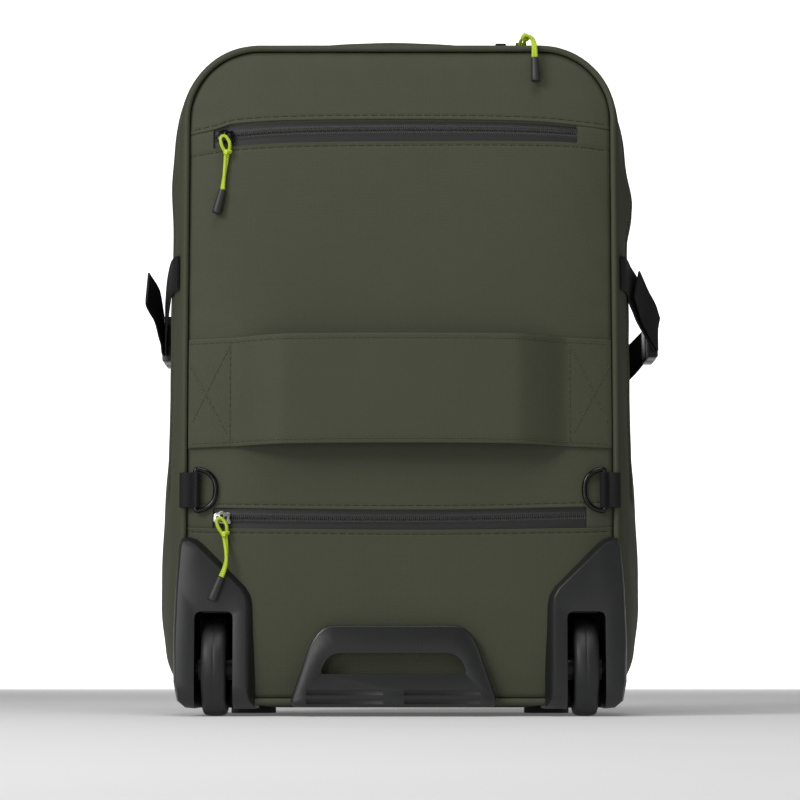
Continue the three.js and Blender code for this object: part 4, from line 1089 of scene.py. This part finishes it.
# Main zip
# A longer zip of the same kind runs over the top and down both sides, sunk between two folded edges.
main_ring = body_ring((main_zip_y - rim_y) / (front_seam_y - rim_y))
zip_start = next(k for k, (x, z) in enumerate(main_ring) if x > 0 and z > main_zip_end)
zip_finish = max(k for k, (x, z) in enumerate(main_ring) if x < 0 and z > main_zip_end)
main_line = [Vector((x, main_zip_y, z)) for x, z in main_ring[zip_start : zip_finish + 1]]
main_line = eased(main_line, coil_pitch / 3)
main_frames = frames_along(main_line, Vector((0, 1, 0)))
main_far = running(main_line)
main_offsets = [-main_zip_half - 0.7, *tape_rows[1:-1], main_zip_half + 0.7]


def on_body(y, line_point):
    """The body's surface beside a point of the main zip, at another depth."""
    x, z = line_point.x, line_point.z
    side = side_at(y, z) - side_at(main_zip_y, z)
    rise = top_at(x, y) - top_at(x, main_zip_y)
    share = step((z - body_top + body_corner * 1.4) / (body_corner * 0.7))
    return Vector((math.copysign(side * (1 - share), x), 0, rise * share))


def place_main_tape(i, j):
    point, side, top = main_frames[i]
    off = main_offsets[j]
    height = tape_relief(main_far[i], off) - main_tape_depth + sway(point.x, main_zip_y, point.z)
    return point - side * height + Vector((0, off, 0)) + on_body(main_zip_y + off, point)


bm = lay_grid(len(main_line), len(main_offsets), place_main_tape)
bmesh.ops.recalc_face_normals(bm, faces=bm.faces)
add_piece(bm, "main_tape", tape_black, "zip_tape", nodes=["main_zip"], sharp=60)


def beside_main_zip(i, off):
    """The place on the sewn body itself that is nearest to a stitch beside the zip."""
    point, side, top = main_frames[i]
    beside = point - side * sway(point.x, main_zip_y, point.z)
    beside += on_body(main_zip_y + off, point) + Vector((0, off, 0))
    return body_surface.find_nearest(beside * mm)[0] / mm


main_seams = [
    [beside_main_zip(k, off) for k in range(0, len(main_line), 24)]
    for off in (-main_zip_half - seam_inset, main_zip_half + seam_inset)
]
stitch_rows("main_zip_stitches", main_seams, thread_olive, "coated_fabric")


# Trolley sleeve
# A wide band of the bag's fabric, doubled, sewn to the panel at both ends with a crossed box of stitches.
# Between its two ends it stands open.
sleeve_low_box, sleeve_high_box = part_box("trolley_sleeve")
sleeve_base, sleeve_top = 189.2, 267
sleeve_arch = 2.2
sleeve_half = sleeve_high_box.x / mm - 0.4
sleeve_crest = sleeve_low_box.y / mm + 0.3
sleeve_height = sleeve_top - sleeve_base
sleeve_middle = sleeve_base + sleeve_height / 2
sleeve_sewn = 31  # the length that is sewn down at each end
sleeve_free = 119.6  # half the length that stands open
sleeve_gap = 2.4  # from the panel to the face of its sewn ends
sleeve_thickness = 1.7
sleeve_seam_inset = 3.2
sleeve_rows = [
    {"x": 0, "lift": 1.0},
    {"x": 40, "lift": 1.0},
    {"x": 76, "lift": 0.995},
    {"x": 86, "lift": 0.93},
    {"x": 100.8, "lift": 0.52},
    {"x": 113.6, "lift": 0.1},
    {"x": sleeve_free, "lift": 0.0},
    {"x": 135, "lift": 0.0},
    {"x": 151, "lift": 0.0},
]
sleeve_columns = spaced(-sleeve_half, sleeve_half, 2.2, (-sleeve_free, sleeve_free), 0.6, 6)
sleeve_shares = spaced(0, 1, 0.04, (0, 1), 0.008, 0.1)


def sleeve_face(x, z):
    """The sleeve's outer face: close to the panel at its ends, and standing off between them."""
    lying = min(panel_face(x, z), panel_face(x, sleeve_middle)) - sleeve_gap
    lift = min(1, max(0, read(sleeve_rows, "lift", abs(x))))
    sag = 0.5 * math.sin(x / 33 + 0.4) * lift + 0.25 * math.sin(z / 9 + x / 21) * (1 - lift)
    return lying + (sleeve_crest - lying) * lift - sag * 0.6


def sleeve_edge(x):
    """The height of the sleeve's lower edge, which arches a little."""
    return sleeve_base + sleeve_arch * (1 - (x / sleeve_half) ** 2)


def place_sleeve(i, j):
    x, share = sleeve_columns[i], sleeve_shares[j]
    z = sleeve_edge(x) + sleeve_height * share
    edge = min(share, 1 - share) * sleeve_height
    roll = 0.5 * math.exp(-edge / 0.7)
    return Vector((x, sleeve_face(x, z) + roll + 0.6 * puckered(x, edge - sleeve_seam_inset), z))


bm = lay_grid(len(sleeve_columns), len(sleeve_shares), place_sleeve, flat=laid_flat)
bmesh.ops.recalc_face_normals(bm, faces=bm.faces)
if sum(f.normal.y for f in bm.faces) > 0:
    bmesh.ops.reverse_faces(bm, faces=bm.faces)
bmesh.ops.solidify(bm, geom=bm.faces[:], thickness=sleeve_thickness * mm)
bmesh.ops.recalc_face_normals(bm, faces=bm.faces)
sleeve = add_piece(bm, "sleeve_band", olive, "coated_fabric", nodes=["trolley_sleeve"], sharp=50)
sleeve_length = running([Vector((x, sleeve_face(x, 228))) for x in sleeve_columns])[-1]


def sleeve_line(points):
    """A line of stitches on the sleeve through places given as x and height over its lower edge."""
    line = []
    for (x0, up0), (x1, up1) in zip(points, points[1:]):
        for k in range(16):
            x, up = x0 + (x1 - x0) * k / 16, up0 + (up1 - up0) * k / 16
            z = sleeve_edge(x) + up
            line.append(Vector((x, sleeve_face(x, z) - 0.25, z)))
    return line


box_near, box_far = sleeve_half - sleeve_sewn + 1, sleeve_half - 0.8
sleeve_seams = [
    sleeve_line([(-box_far, up), (-box_near, up), (0, up), (box_near, up), (box_far, up)])
    for up in (sleeve_seam_inset, sleeve_height - sleeve_seam_inset)
]
for side in (-1, 1):
    near, far_out = side * box_near, side * box_far
    sleeve_seams += [
        sleeve_line([(near, 4), (near, sleeve_height - 4)]),
        sleeve_line([(near, sleeve_height - 5), (far_out, 14)]),
        sleeve_line([(far_out, sleeve_height - 18), (near, 5)]),
    ]

# The sleeve's thread is paler than that of the panel, and its stitches are shorter.
thread_pale = nylon_thread("pale_olive_nylon_thread", "#2a2b20", "#63644f")
stitch_rows("sleeve_stitches", sleeve_seams, thread_pale, "coated_fabric", pitch=2.4, thick=0.6)


# Wheel housings
# Each is one moulding of black polypropylene, screwed to the bag's lower corner, with a well for its
# wheel. Its face is satin and its edges are rounded.
def fine_copy(node, width, segments=3, angle=28):
    """A copy of a CAD node with its flat facets joined and its edges rounded."""
    bm = bmesh.new()
    bm.from_mesh(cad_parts[node].data)
    bmesh.ops.remove_doubles(bm, verts=bm.verts, dist=1e-6)
    bmesh.ops.dissolve_limit(bm, angle_limit=math.radians(1.5), verts=bm.verts, edges=bm.edges)
    hard = [e for e in bm.edges if e.is_manifold and e.calc_face_angle(0) > math.radians(angle)]
    bmesh.ops.bevel(
        bm,
        geom=hard,
        affect="EDGES",
        offset=width * mm,
        segments=segments,
        profile=0.5,
        material=-1,
        clamp_overlap=True,
    )
    bmesh.ops.triangulate(bm, faces=[f for f in bm.faces if len(f.verts) > 4])
    return bm


# Polypropylene from an eroded mould: near black, satin, with a broad soft shine over its rounded edges. The
# mould's grain is about 0.2 mm, drawn at 0.7 mm so that it shows.
plastic = start_material("moulded_black_polypropylene")
plastic_place = add_node(plastic, "ShaderNodeTexCoord")
plastic_grain = add_node(
    plastic,
    "ShaderNodeTexNoise",
    {"Vector": plastic_place.outputs["Object"], "Scale": cells(0.714), "Detail": 3.0, "Roughness": 0.6},
)
plastic_cloud = add_node(
    plastic,
    "ShaderNodeTexNoise",
    {"Vector": plastic_place.outputs["Object"], "Scale": cells(40), "Detail": 2.0},
)
shade(
    plastic,
    plastic_cloud.outputs["Fac"],
    "#151616",
    "#1d1e1e",
    {"Roughness": 0.33, "IOR": 1.52},
    relief=(0.22, 0.1),
    height=plastic_grain.outputs["Fac"],
)

sides = {"left": -1, "right": 1}
for side_name in sides:
    node = f"wheel_housing_{side_name}"
    add_piece(fine_copy(node, 1.0), f"housing_{side_name}", plastic, "moulded_plastic", nodes=[node])


# Wheels
# A soft polyurethane tyre on a plastic hub, which turns on a steel axle between the cheeks of its well.
# Cast polyurethane: near black and less shiny than the housings, with scuffs a few millimetres long.
tyre_rubber = start_material("soft_polyurethane_tyre")
tyre_place = add_node(tyre_rubber, "ShaderNodeTexCoord")
tyre_scuff = add_node(
    tyre_rubber,
    "ShaderNodeTexNoise",
    {"Vector": tyre_place.outputs["Object"], "Scale": cells(5.56), "Detail": 4.0, "Roughness": 0.65},
)
shade(tyre_rubber, tyre_scuff.outputs["Fac"], "#111212", "#1b1c1c", {"Roughness": 0.5}, relief=(0.25, 0.2))

wheel_y, wheel_radius, wheel_x = -75.5, 34.5, 131
tyre_profile = [
    {"radius": 24.3, "along": -8.1},
    {"radius": 27.5, "along": -8.7},
    {"radius": 31.0, "along": -8.7},
    {"radius": 32.6, "along": -8.1},
    {"radius": 33.7, "along": -6.6},
    {"radius": 34.3, "along": -4.4},
    {"radius": 34.5, "along": -2.0},
    {"radius": 34.5, "along": -0.3},
    {"radius": 34.38, "along": 0.0},
    {"radius": 34.5, "along": 0.3},
    {"radius": 34.5, "along": 2.0},
    {"radius": 34.3, "along": 4.4},
    {"radius": 33.7, "along": 6.6},
    {"radius": 32.6, "along": 8.1},
    {"radius": 31.0, "along": 8.7},
    {"radius": 27.5, "along": 8.7},
    {"radius": 24.3, "along": 8.1},
]
hub_profile = [
    {"radius": 4.3, "along": -12.6},
    {"radius": 8.6, "along": -12.6},
    {"radius": 9.0, "along": -12.2},
    {"radius": 9.0, "along": -4.3},
    {"radius": 20.9, "along": -4.3},
    {"radius": 21.0, "along": -7.0},
    {"radius": 24.0, "along": -7.2},
    {"radius": 24.0, "along": 7.2},
    {"radius": 21.0, "along": 7.0},
    {"radius": 20.9, "along": 4.3},
    {"radius": 9.0, "along": 4.3},
    {"radius": 9.0, "along": 12.2},
    {"radius": 8.6, "along": 12.6},
    {"radius": 4.3, "along": 12.6},
]


def turned(rows, x, steps):
    """A profile turned about the wheel's axle."""
    bm = bmesh.new()
    centre = Vector((x, wheel_y, wheel_radius))
    verts = [bm.verts.new((centre + Vector((row["along"], 0, row["radius"]))) * mm) for row in rows]
    edges = [bm.edges.new((verts[k - 1], verts[k])) for k in range(len(verts))]
    bmesh.ops.spin(
        bm,
        geom=verts + edges,
        cent=centre * mm,
        axis=(1, 0, 0),
        angle=2 * math.pi,
        steps=steps,
        use_merge=True,
    )
    bmesh.ops.recalc_face_normals(bm, faces=bm.faces)
    return bm


for side_name, side in sides.items():
    x = side * wheel_x
    body = f"wheel_{side_name}"
    bm = turned(tyre_profile, x, 96)
    add_piece(bm, f"tread_{side_name}", tyre_rubber, "wheel_tyre", body, [f"tyre_{side_name}"])
    bm = turned(hub_profile, x, 72)
    add_piece(bm, f"hub_{side_name}", plastic, "moulded_plastic", body, [f"wheel_hub_{side_name}"])

# Steel or zinc plated with nickel: bright, slightly warm and mirror-like, blurred by fine handling marks.
nickel = start_material("nickel_plated_steel")
nickel_place = add_node(nickel, "ShaderNodeTexCoord")
nickel_scratch = add_node(
    nickel,
    "ShaderNodeTexNoise",
    {"Vector": nickel_place.outputs["Object"], "Scale": cells(1.11), "Detail": 2.0},
)
shade(nickel, nickel_scratch.outputs["Fac"], "#a9a7a2", "#c9c6bf", {"Metallic": 1.0, "Roughness": 0.3})
for side_name in sides:
    node = f"axle_{side_name}"
    add_piece(fine_copy(node, 0.4, 2, 50), f"steel_axle_{side_name}", nickel, "plated_steel", nodes=[node])


# Grab handle
# A plate moulded of the same plastic, screwed on low between the wheels, with a slot for the fingers and
# two rows of grooves for grip.
add_piece(fine_copy("grab_handle", 0.7), "grip_plate", plastic, "moulded_plastic", nodes=["grab_handle"])


# D-rings
# A black plated wire ring hangs in a folded tab of webbing on each side, sewn into the back seam.
# Polypropylene yarn woven dense: black and dull, with a slanting rib of 1.5 mm.
webbing = start_material("black_polypropylene_webbing")
webbing_uv = add_node(webbing, "ShaderNodeUVMap", uv_map="cloth")
webbing_rib = add_node(
    webbing,
    "ShaderNodeTexWave",
    {"Vector": webbing_uv.outputs["UV"], "Scale": bands(1.5), "Distortion": 0.6},
    bands_direction="DIAGONAL",
)
webbing_finish = {"Roughness": 0.7, "Specular IOR Level": 0.3}
shade(webbing, webbing_rib.outputs["Fac"], "#08090a", "#151617", webbing_finish, relief=(0.4, 0.2))

# Zinc with a black nickel plate: a dark mirror with sharp small highlights.
black_metal = start_material("black_plated_zinc")
black_place = add_node(black_metal, "ShaderNodeTexCoord")
black_noise = add_node(
    black_metal,
    "ShaderNodeTexNoise",
    {"Vector": black_place.outputs["Object"], "Scale": cells(1.67), "Detail": 3.0},
)
shade(black_metal, black_noise.outputs["Fac"], "#2a2a2c", "#3c3c3e", {"Metallic": 1.0, "Roughness": 0.2})

ring_x, ring_y, ring_z = 145, -98.4, 159.3
ring_wire = 1.75
ring_reach = 14.5
ring_corner = 2.0  # the bend at each end of its straight bar
ring_shoulder = 0.86  # how full its bow is
tab_width = 25
tab_layer = 1.2
tab_clearance = 0.35  # between the webbing and the bar or the piping
bar_half = tab_width / 2 + 0.5 + ring_wire


def band_section(width, thickness, round_share=0.45, across=8):
    """A flat band's section with rounded edges: the width lies along the second axis."""
    round_off = thickness * round_share
    t, w = thickness / 2 - round_off, width / 2 - round_off

    def corner(cx, cy, quarter):
        turns = [math.pi / 2 * (quarter + k / 3) for k in range(4)]
        return [(cx + round_off * math.cos(a), cy + round_off * math.sin(a)) for a in turns]

    def flat_side(x, way):
        return [(x, way * w * (2 * k / across - 1)) for k in range(1, across)]

    behind = corner(t, w, 0) + corner(-t, w, 1) + flat_side(-thickness / 2, -1)
    return behind + corner(-t, -w, 2) + corner(t, -w, 3) + flat_side(thickness / 2, 1)


def quadratic(a, b, c, count):
    """Points of a curve from a to c that is drawn towards b."""
    return [a * (1 - t) ** 2 + b * 2 * t * (1 - t) + c * t**2 for t in (k / count for k in range(count))]


for side_name, side in sides.items():

    def on_ring(out, up):
        return Vector((side * (ring_x - out), ring_y, ring_z + up))

    straight = bar_half - ring_corner
    line = [on_ring(0, straight * (k / 5 - 1)) for k in range(10)]
    for up in (1, -1):
        bend = (on_ring(0, up * straight), on_ring(0, up * bar_half), on_ring(ring_corner, up * bar_half))
        bow = (bend[2], on_ring(ring_reach, up * ring_shoulder * bar_half), on_ring(ring_reach, 0))
        if up > 0:
            line += quadratic(*bend, 6) + quadratic(*bow, 22)
        else:
            line += quadratic(*bow[::-1], 22) + quadratic(*bend[::-1], 6)
    bm = sweep(even(line, 1.0), round_section(ring_wire, 14), Vector((0, 1, 0)), closed=True)
    node = f"d_ring_{side_name}"
    add_piece(bm, f"ring_{side_name}", black_metal, "dark_metal", node, [node])

    fold = ring_wire + tab_clearance + tab_layer / 2
    over = piping_radius + tab_clearance + tab_layer / 2
    around = [math.radians(a) for a in range(-70, 100, 17)]
    round_bar = [(ring_x - math.cos(a) * fold, ring_y - math.sin(a) * fold) for a in around]
    lower_leaf = [(piping_x - 2.6, piping_y - over + 1.3), (piping_x - 5, ring_y + fold - 0.1)]
    upper_leaf = [
        (piping_x - 3.6, piping_y - over - 1.9),
        (piping_x, piping_y - over - 1.3),
        (piping_x + over * 0.75, piping_y - over * 0.72),
    ]
    path = [*lower_leaf, *round_bar[::-1], *upper_leaf]
    path = eased([Vector((side * px, py, ring_z)) for px, py in path], 0.6)
    bm = sweep(path, band_section(tab_width, tab_layer), Vector((0, 0, 1)))
    add_piece(bm, f"tab_{side_name}", webbing, "webbing", nodes=[f"ring_tab_{side_name}"], sharp=60)


# Compression straps
# Webbing 25 mm wide runs from each back seam and each front seam to a side release buckle. The long end
# is threaded back through the buckle, and its loose tail stands off a little.
strap_width, strap_thickness = 25, 1.6
strap_back_z, strap_front_z, buckle_z = 316, 256, 280
male_length, female_length = 20, 27
strap_seat = 1.3  # from the bag's side to the strap
strap_gap = 0.3  # between the strap and its buckle
tail_gap = 1.0  # between the strap and its tail
strap_places = {
    "left": {"out": 175, "behind": 95, "lift": 14.5},
    "right": {"out": 187.6, "behind": 69, "lift": 2.5},
}
strap_back_rows = [
    {"x": 0.01, "out": 0, "level": 0, "lift": 1},
    {"x": 0.15, "out": 0, "level": 0, "lift": 1},
    {"x": 0.32, "out": 0, "level": 0.03, "lift": 1},
    {"x": 0.48, "out": 0.06, "level": 0.13, "lift": 0.9},
    {"x": 0.66, "out": 0.36, "level": 0.45, "lift": 0.34},
    {"x": 0.82, "out": 0.78, "level": 0.82, "lift": 0.05},
    {"x": 0.93, "out": 1, "level": 1, "lift": 0},
    {"x": 1, "out": 1, "level": 1, "lift": 0},
]
strap_front_rows = [
    {"x": 0, "out": 1, "level": 1},
    {"x": 0.08, "out": 1, "level": 1},
    {"x": 0.3, "out": 0.74, "level": 0.8},
    {"x": 0.56, "out": 0.28, "level": 0.4},
    {"x": 0.76, "out": 0.04, "level": 0.1},
    {"x": 0.88, "out": 0, "level": 0},
]


def strap_point(side, place, y, z, out):
    """A point of a strap: it lies on the bag's side, and out moves it to the buckle's distance."""
    lying = side_at(y, z) + strap_seat + strap_thickness / 2
    return Vector((side * (lying + (place["out"] - lying) * out), y, z))


for side_name, side in sides.items():
    place = strap_places[side_name]
    start = back_seam_y + place["behind"]
    end = start + male_length + strap_gap + female_length
    back_line, tail_line, front_line = [], [], []
    for k in range(34):
        at = 0.01 + 0.99 * k / 33
        y = rim_y + (start - strap_gap - rim_y) * at
        z = strap_back_z + (buckle_z - strap_back_z) * read(strap_back_rows, "level", at)
        point = strap_point(side, place, y, z, read(strap_back_rows, "out", at))
        back_line.append(point)
        if at > 0.45:
            off = strap_thickness + tail_gap + read(strap_back_rows, "lift", at) * place["lift"]
            tail_line.append(point + Vector((side * off, 0, 0)))
    for k in range(26):
        at = 0.88 * k / 25
        y = end + strap_gap + (front_seam_y - end - strap_gap) * at
        z = strap_front_z + (buckle_z - strap_front_z) * read(strap_front_rows, "level", at)
        front_line.append(strap_point(side, place, y, z, read(strap_front_rows, "out", at)))
    for part, line in (("back", back_line), ("tail", tail_line), ("front", front_line)):
        bm = sweep(eased(line, 1.5), band_section(strap_width, strap_thickness), Vector((0, 0, 1)))
        node = f"strap_{part}_{side_name}"
        add_piece(bm, f"webbing_{part}_{side_name}", webbing, "webbing", nodes=[node], sharp=60)
    for part in ("male", "female"):
        node = f"buckle_{part}_{side_name}"
        bm = fine_copy(node, 0.6)
        add_piece(bm, f"clip_{part}_{side_name}", plastic, "moulded_plastic", nodes=[node])


# Carry handle
# A padded strip of the bag's fabric on the top. Its ends have no padding, so that they lie flat under the
# boxes of stitches that hold them.
handle_half, handle_width, handle_thickness = 88, 27, 4.2
handle_x, handle_y = -8, -18
handle_bow = 3.8
handle_seat = 0.8  # from the bag's top to its underside
end_thickness = 1.5
end_share = 0.82  # how much of its half length is padded
handle_steps = 60


def handle_bed(x):
    """The height of the handle's underside where it lies on the bag."""
    return top_at(x, handle_y) + handle_seat


handle_line = []
for k in range(handle_steps + 1):
    share = -1 + 2 * k / handle_steps
    x = handle_x + handle_half * share
    middle = handle_bed(x) + handle_thickness / 2
    handle_line.append(Vector((x, handle_y, middle + handle_bow * (1 - share**2) ** 1.5)))


def handle_swell(j):
    share = abs(j / handle_steps * 2 - 1)
    return 1 - 0.12 * step((share - 0.86) / 0.06) + 0.015 * math.sin(j / 2.2)


section = band_section(handle_width, handle_thickness, 0.48, 10)
bm = sweep(handle_line, section, Vector((0, 1, 0)), swell=handle_swell)
for vert in bm.verts:
    x, y, z = vert.co / mm
    pressed = step((abs(x - handle_x) / handle_half - end_share) / 0.06)
    flatter = 1 - pressed * (1 - end_thickness / handle_thickness)
    vert.co.z = (handle_bed(x) + (z - handle_bed(x)) * flatter) * mm
handle = add_piece(bm, "carry_handle", olive, "coated_fabric", nodes=["top_handle"], sharp=60)

end_boxes = []
for end in (-1, 1):
    near, outer = (handle_x + end * handle_half * share for share in (0.89, 0.97))
    wide = handle_width * 0.36
    box = [(near, -wide), (outer, -wide), (outer, wide), (near, wide), (near, -wide)]
    end_boxes.append([Vector((x, handle_y + y, handle_bed(x) + end_thickness)) for x, y in box])
stitch_rows("carry_handle_stitches", end_boxes, thread_olive, "coated_fabric")


# Feet
# Two blocks of the same plastic under the front of the base hold the bag upright.
for side_name in sides:
    node = f"front_foot_{side_name}"
    add_piece(fine_copy(node, 0.8), f"foot_{side_name}", plastic, "moulded_plastic", nodes=[node])


# Zip sliders
# Cast zinc sliders: black plated on the upper and the main zip, nickel plated on the lower one. Each is a
# crowned plate with a bridge across its middle, which the pull's loop goes through.
slider_thickness = 2.4
slider_sunk = 0.4  # how far it sits in the zip
bridge_heights = {"upper": 1.5, "lower": 1.5, "main": 3.1, "spare": 2.2}
# Where the painted shade of the gaps beside each bridge lies.
gap_shade_x, gap_shade_half = 2.9, 1.1
slider_outline = [
    (-6.0, -2.2),
    (-4.9, -3.6),
    (-1.8, -4.1),
    (4.3, -4.5),
    (6.4, -4.3),
    (6.5, -2.2),
    (5.6, -0.6),
    (5.7, 1.2),
    (6.4, 3.2),
    (4.6, 3.7),
    (2.4, 3.5),
    (1.0, 4.8),
    (-1.0, 4.8),
    (-2.4, 3.6),
    (-4.6, 3.4),
    (-5.8, 1.8),
]


def block(corners, base, top, right, up, out, at, bevel):
    """A plate with rounded edges: its outline is given across it, its thickness outwards."""
    bm = bmesh.new()
    verts = [bm.verts.new((at + right * x + up * z + out * base) * mm) for x, z in corners]
    face = bm.faces.new(verts)
    made = bmesh.ops.extrude_face_region(bm, geom=[face])["geom"]
    for vert in (g for g in made if isinstance(g, bmesh.types.BMVert)):
        vert.co += out * ((top - base) * mm)
    bmesh.ops.recalc_face_normals(bm, faces=bm.faces)
    bmesh.ops.bevel(
        bm, geom=bm.edges[:], affect="EDGES", offset=bevel * mm, segments=3, profile=0.5, material=-1
    )
    return bm


def rectangle(x0, x1, z0, z1):
    return [(x0, z0), (x1, z0), (x1, z1), (x0, z1)]


def on_panel(zip_window, x):
    """A slider's place on a back zip, and its directions right, up and out."""
    z = read(zip_window, "coil", x)
    at = Vector((x, panel_face(x, z) - slider_sunk, z))
    return at, Vector((1, 0, 0)), Vector((0, 0, 1)), Vector((0, -1, 0))


def on_top(x):
    """The same on the main zip over the bag's top."""
    at = Vector((x, main_zip_y, top_at(x, main_zip_y) - slider_sunk))
    lean = (top_at(x, main_zip_y + 4) - top_at(x, main_zip_y - 4)) / 8
    up = Vector((0, 1, lean)).normalized()
    return at, Vector((1, 0, 0)), up, Vector((1, 0, 0)).cross(up)


slider_places = {
    "upper": (on_panel(upper_window, -125.5), black_metal, "dark_metal"),
    "lower": (on_panel(lower_window, -126.1), nickel, "plated_steel"),
    "main": (on_top(89), black_metal, "dark_metal"),
    "spare": (on_top(74), black_metal, "dark_metal"),
}
for name, ((at, right, up, out), material, slot) in slider_places.items():
    bm = block(slider_outline, 0, slider_thickness, right, up, out, at, 0.5)
    add_piece(bm, f"{name}_slider_plate", material, slot, nodes=[f"{name}_slider"], sharp=50)
    on_back = name in ("upper", "lower")
    bar = rectangle(-1.0, 1.0, -3.4, 2.4) if on_back else rectangle(-3.9, 3.9, -1.7, 1.7)
    crest = slider_thickness + bridge_heights[name]
    bm = block(bar, slider_thickness - 0.5, crest, right, up, out, at, 0.6)
    add_piece(bm, f"{name}_slider_bridge", black_metal, "dark_metal", sharp=50)
    # Beside the bridge, a thin near-black patch is painted shade in the gap that the loop goes through.
    for side_name, side in sides.items():
        gap_shade = rectangle(side * gap_shade_x - gap_shade_half, side * gap_shade_x + gap_shade_half, -1.4, 1.2)
        bm = block(gap_shade, slider_thickness - 0.6, slider_thickness + 0.12, right, up, out, at, 0.25)
        add_piece(bm, f"{name}_slider_gap_shade_{side_name}", coil_black, "dark_metal", sharp=50)


# Studio
# A white paper floor and a glowing white cloth behind the bag. A large soft light high on the left is the
# strongest, one hangs over the bag, and two weak ones stand low in front and on the right.
def studio_surface(name, pale, white, glow):
    material = start_material(name)
    place = add_node(material, "ShaderNodeTexCoord")
    noise = add_node(
        material, "ShaderNodeTexNoise", {"Vector": place.outputs["Object"], "Scale": cells(333)}
    )
    finish = {
        "Roughness": 0.95,
        "Specular IOR Level": 0.0,
        "Emission Color": linear("#ffffff"),
        "Emission Strength": glow,
    }
    shade(material, noise.outputs["Fac"], pale, white, finish)
    return material


def studio_sheet(name, material, size, matrix):
    bm = bmesh.new()
    bmesh.ops.create_grid(bm, x_segments=1, y_segments=1, size=size, matrix=matrix)
    mesh = bpy.data.meshes.new(name)
    bm.to_mesh(mesh)
    bm.free()
    mesh.materials.append(material)
    sheet = bpy.data.objects.new(name, mesh)
    bpy.context.scene.collection.objects.link(sheet)


studio_sheet("floor", studio_surface("matt_white_paper", "#dedede", "#e4e4e4", 0.1), 6, Matrix())
studio_sheet(
    "wall",
    studio_surface("glowing_white_cloth", "#f8f8f8", "#fcfcfc", 1.02),
    1.3,
    Matrix.Translation((0, 3.2, 1.2)) @ Matrix.Rotation(math.radians(90), 4, "X"),
)

world = bpy.data.worlds.new("dim_room")
world.use_nodes = True
world.node_tree.nodes["Background"].inputs["Color"].default_value = (1, 1, 1, 1)
world.node_tree.nodes["Background"].inputs["Strength"].default_value = 0.14
bpy.context.scene.world = world

for light_name, place, aim, size, watts in (
    ("key", (-1.4, -1.5, 1.3), (0, 0, 0.25), 0.8, 24),
    ("front", (-0.8, -2.0, 0.3), (-0.05, 0, 0.2), 0.5, 5),
    ("fill", (1.4, -1.8, 0.7), (0, 0, 0.25), 0.8, 2),
    ("top", (0, -0.9, 1.9), (0, 0, 0.3), 1.0, 12),
):
    light_data = bpy.data.lights.new(light_name, "AREA")
    light_data.size = size
    light_data.energy = watts
    light = bpy.data.objects.new(light_name, light_data)
    light.location = place
    light.rotation_euler = (Vector(aim) - Vector(place)).to_track_quat("-Z", "Y").to_euler()
    bpy.context.scene.collection.objects.link(light)
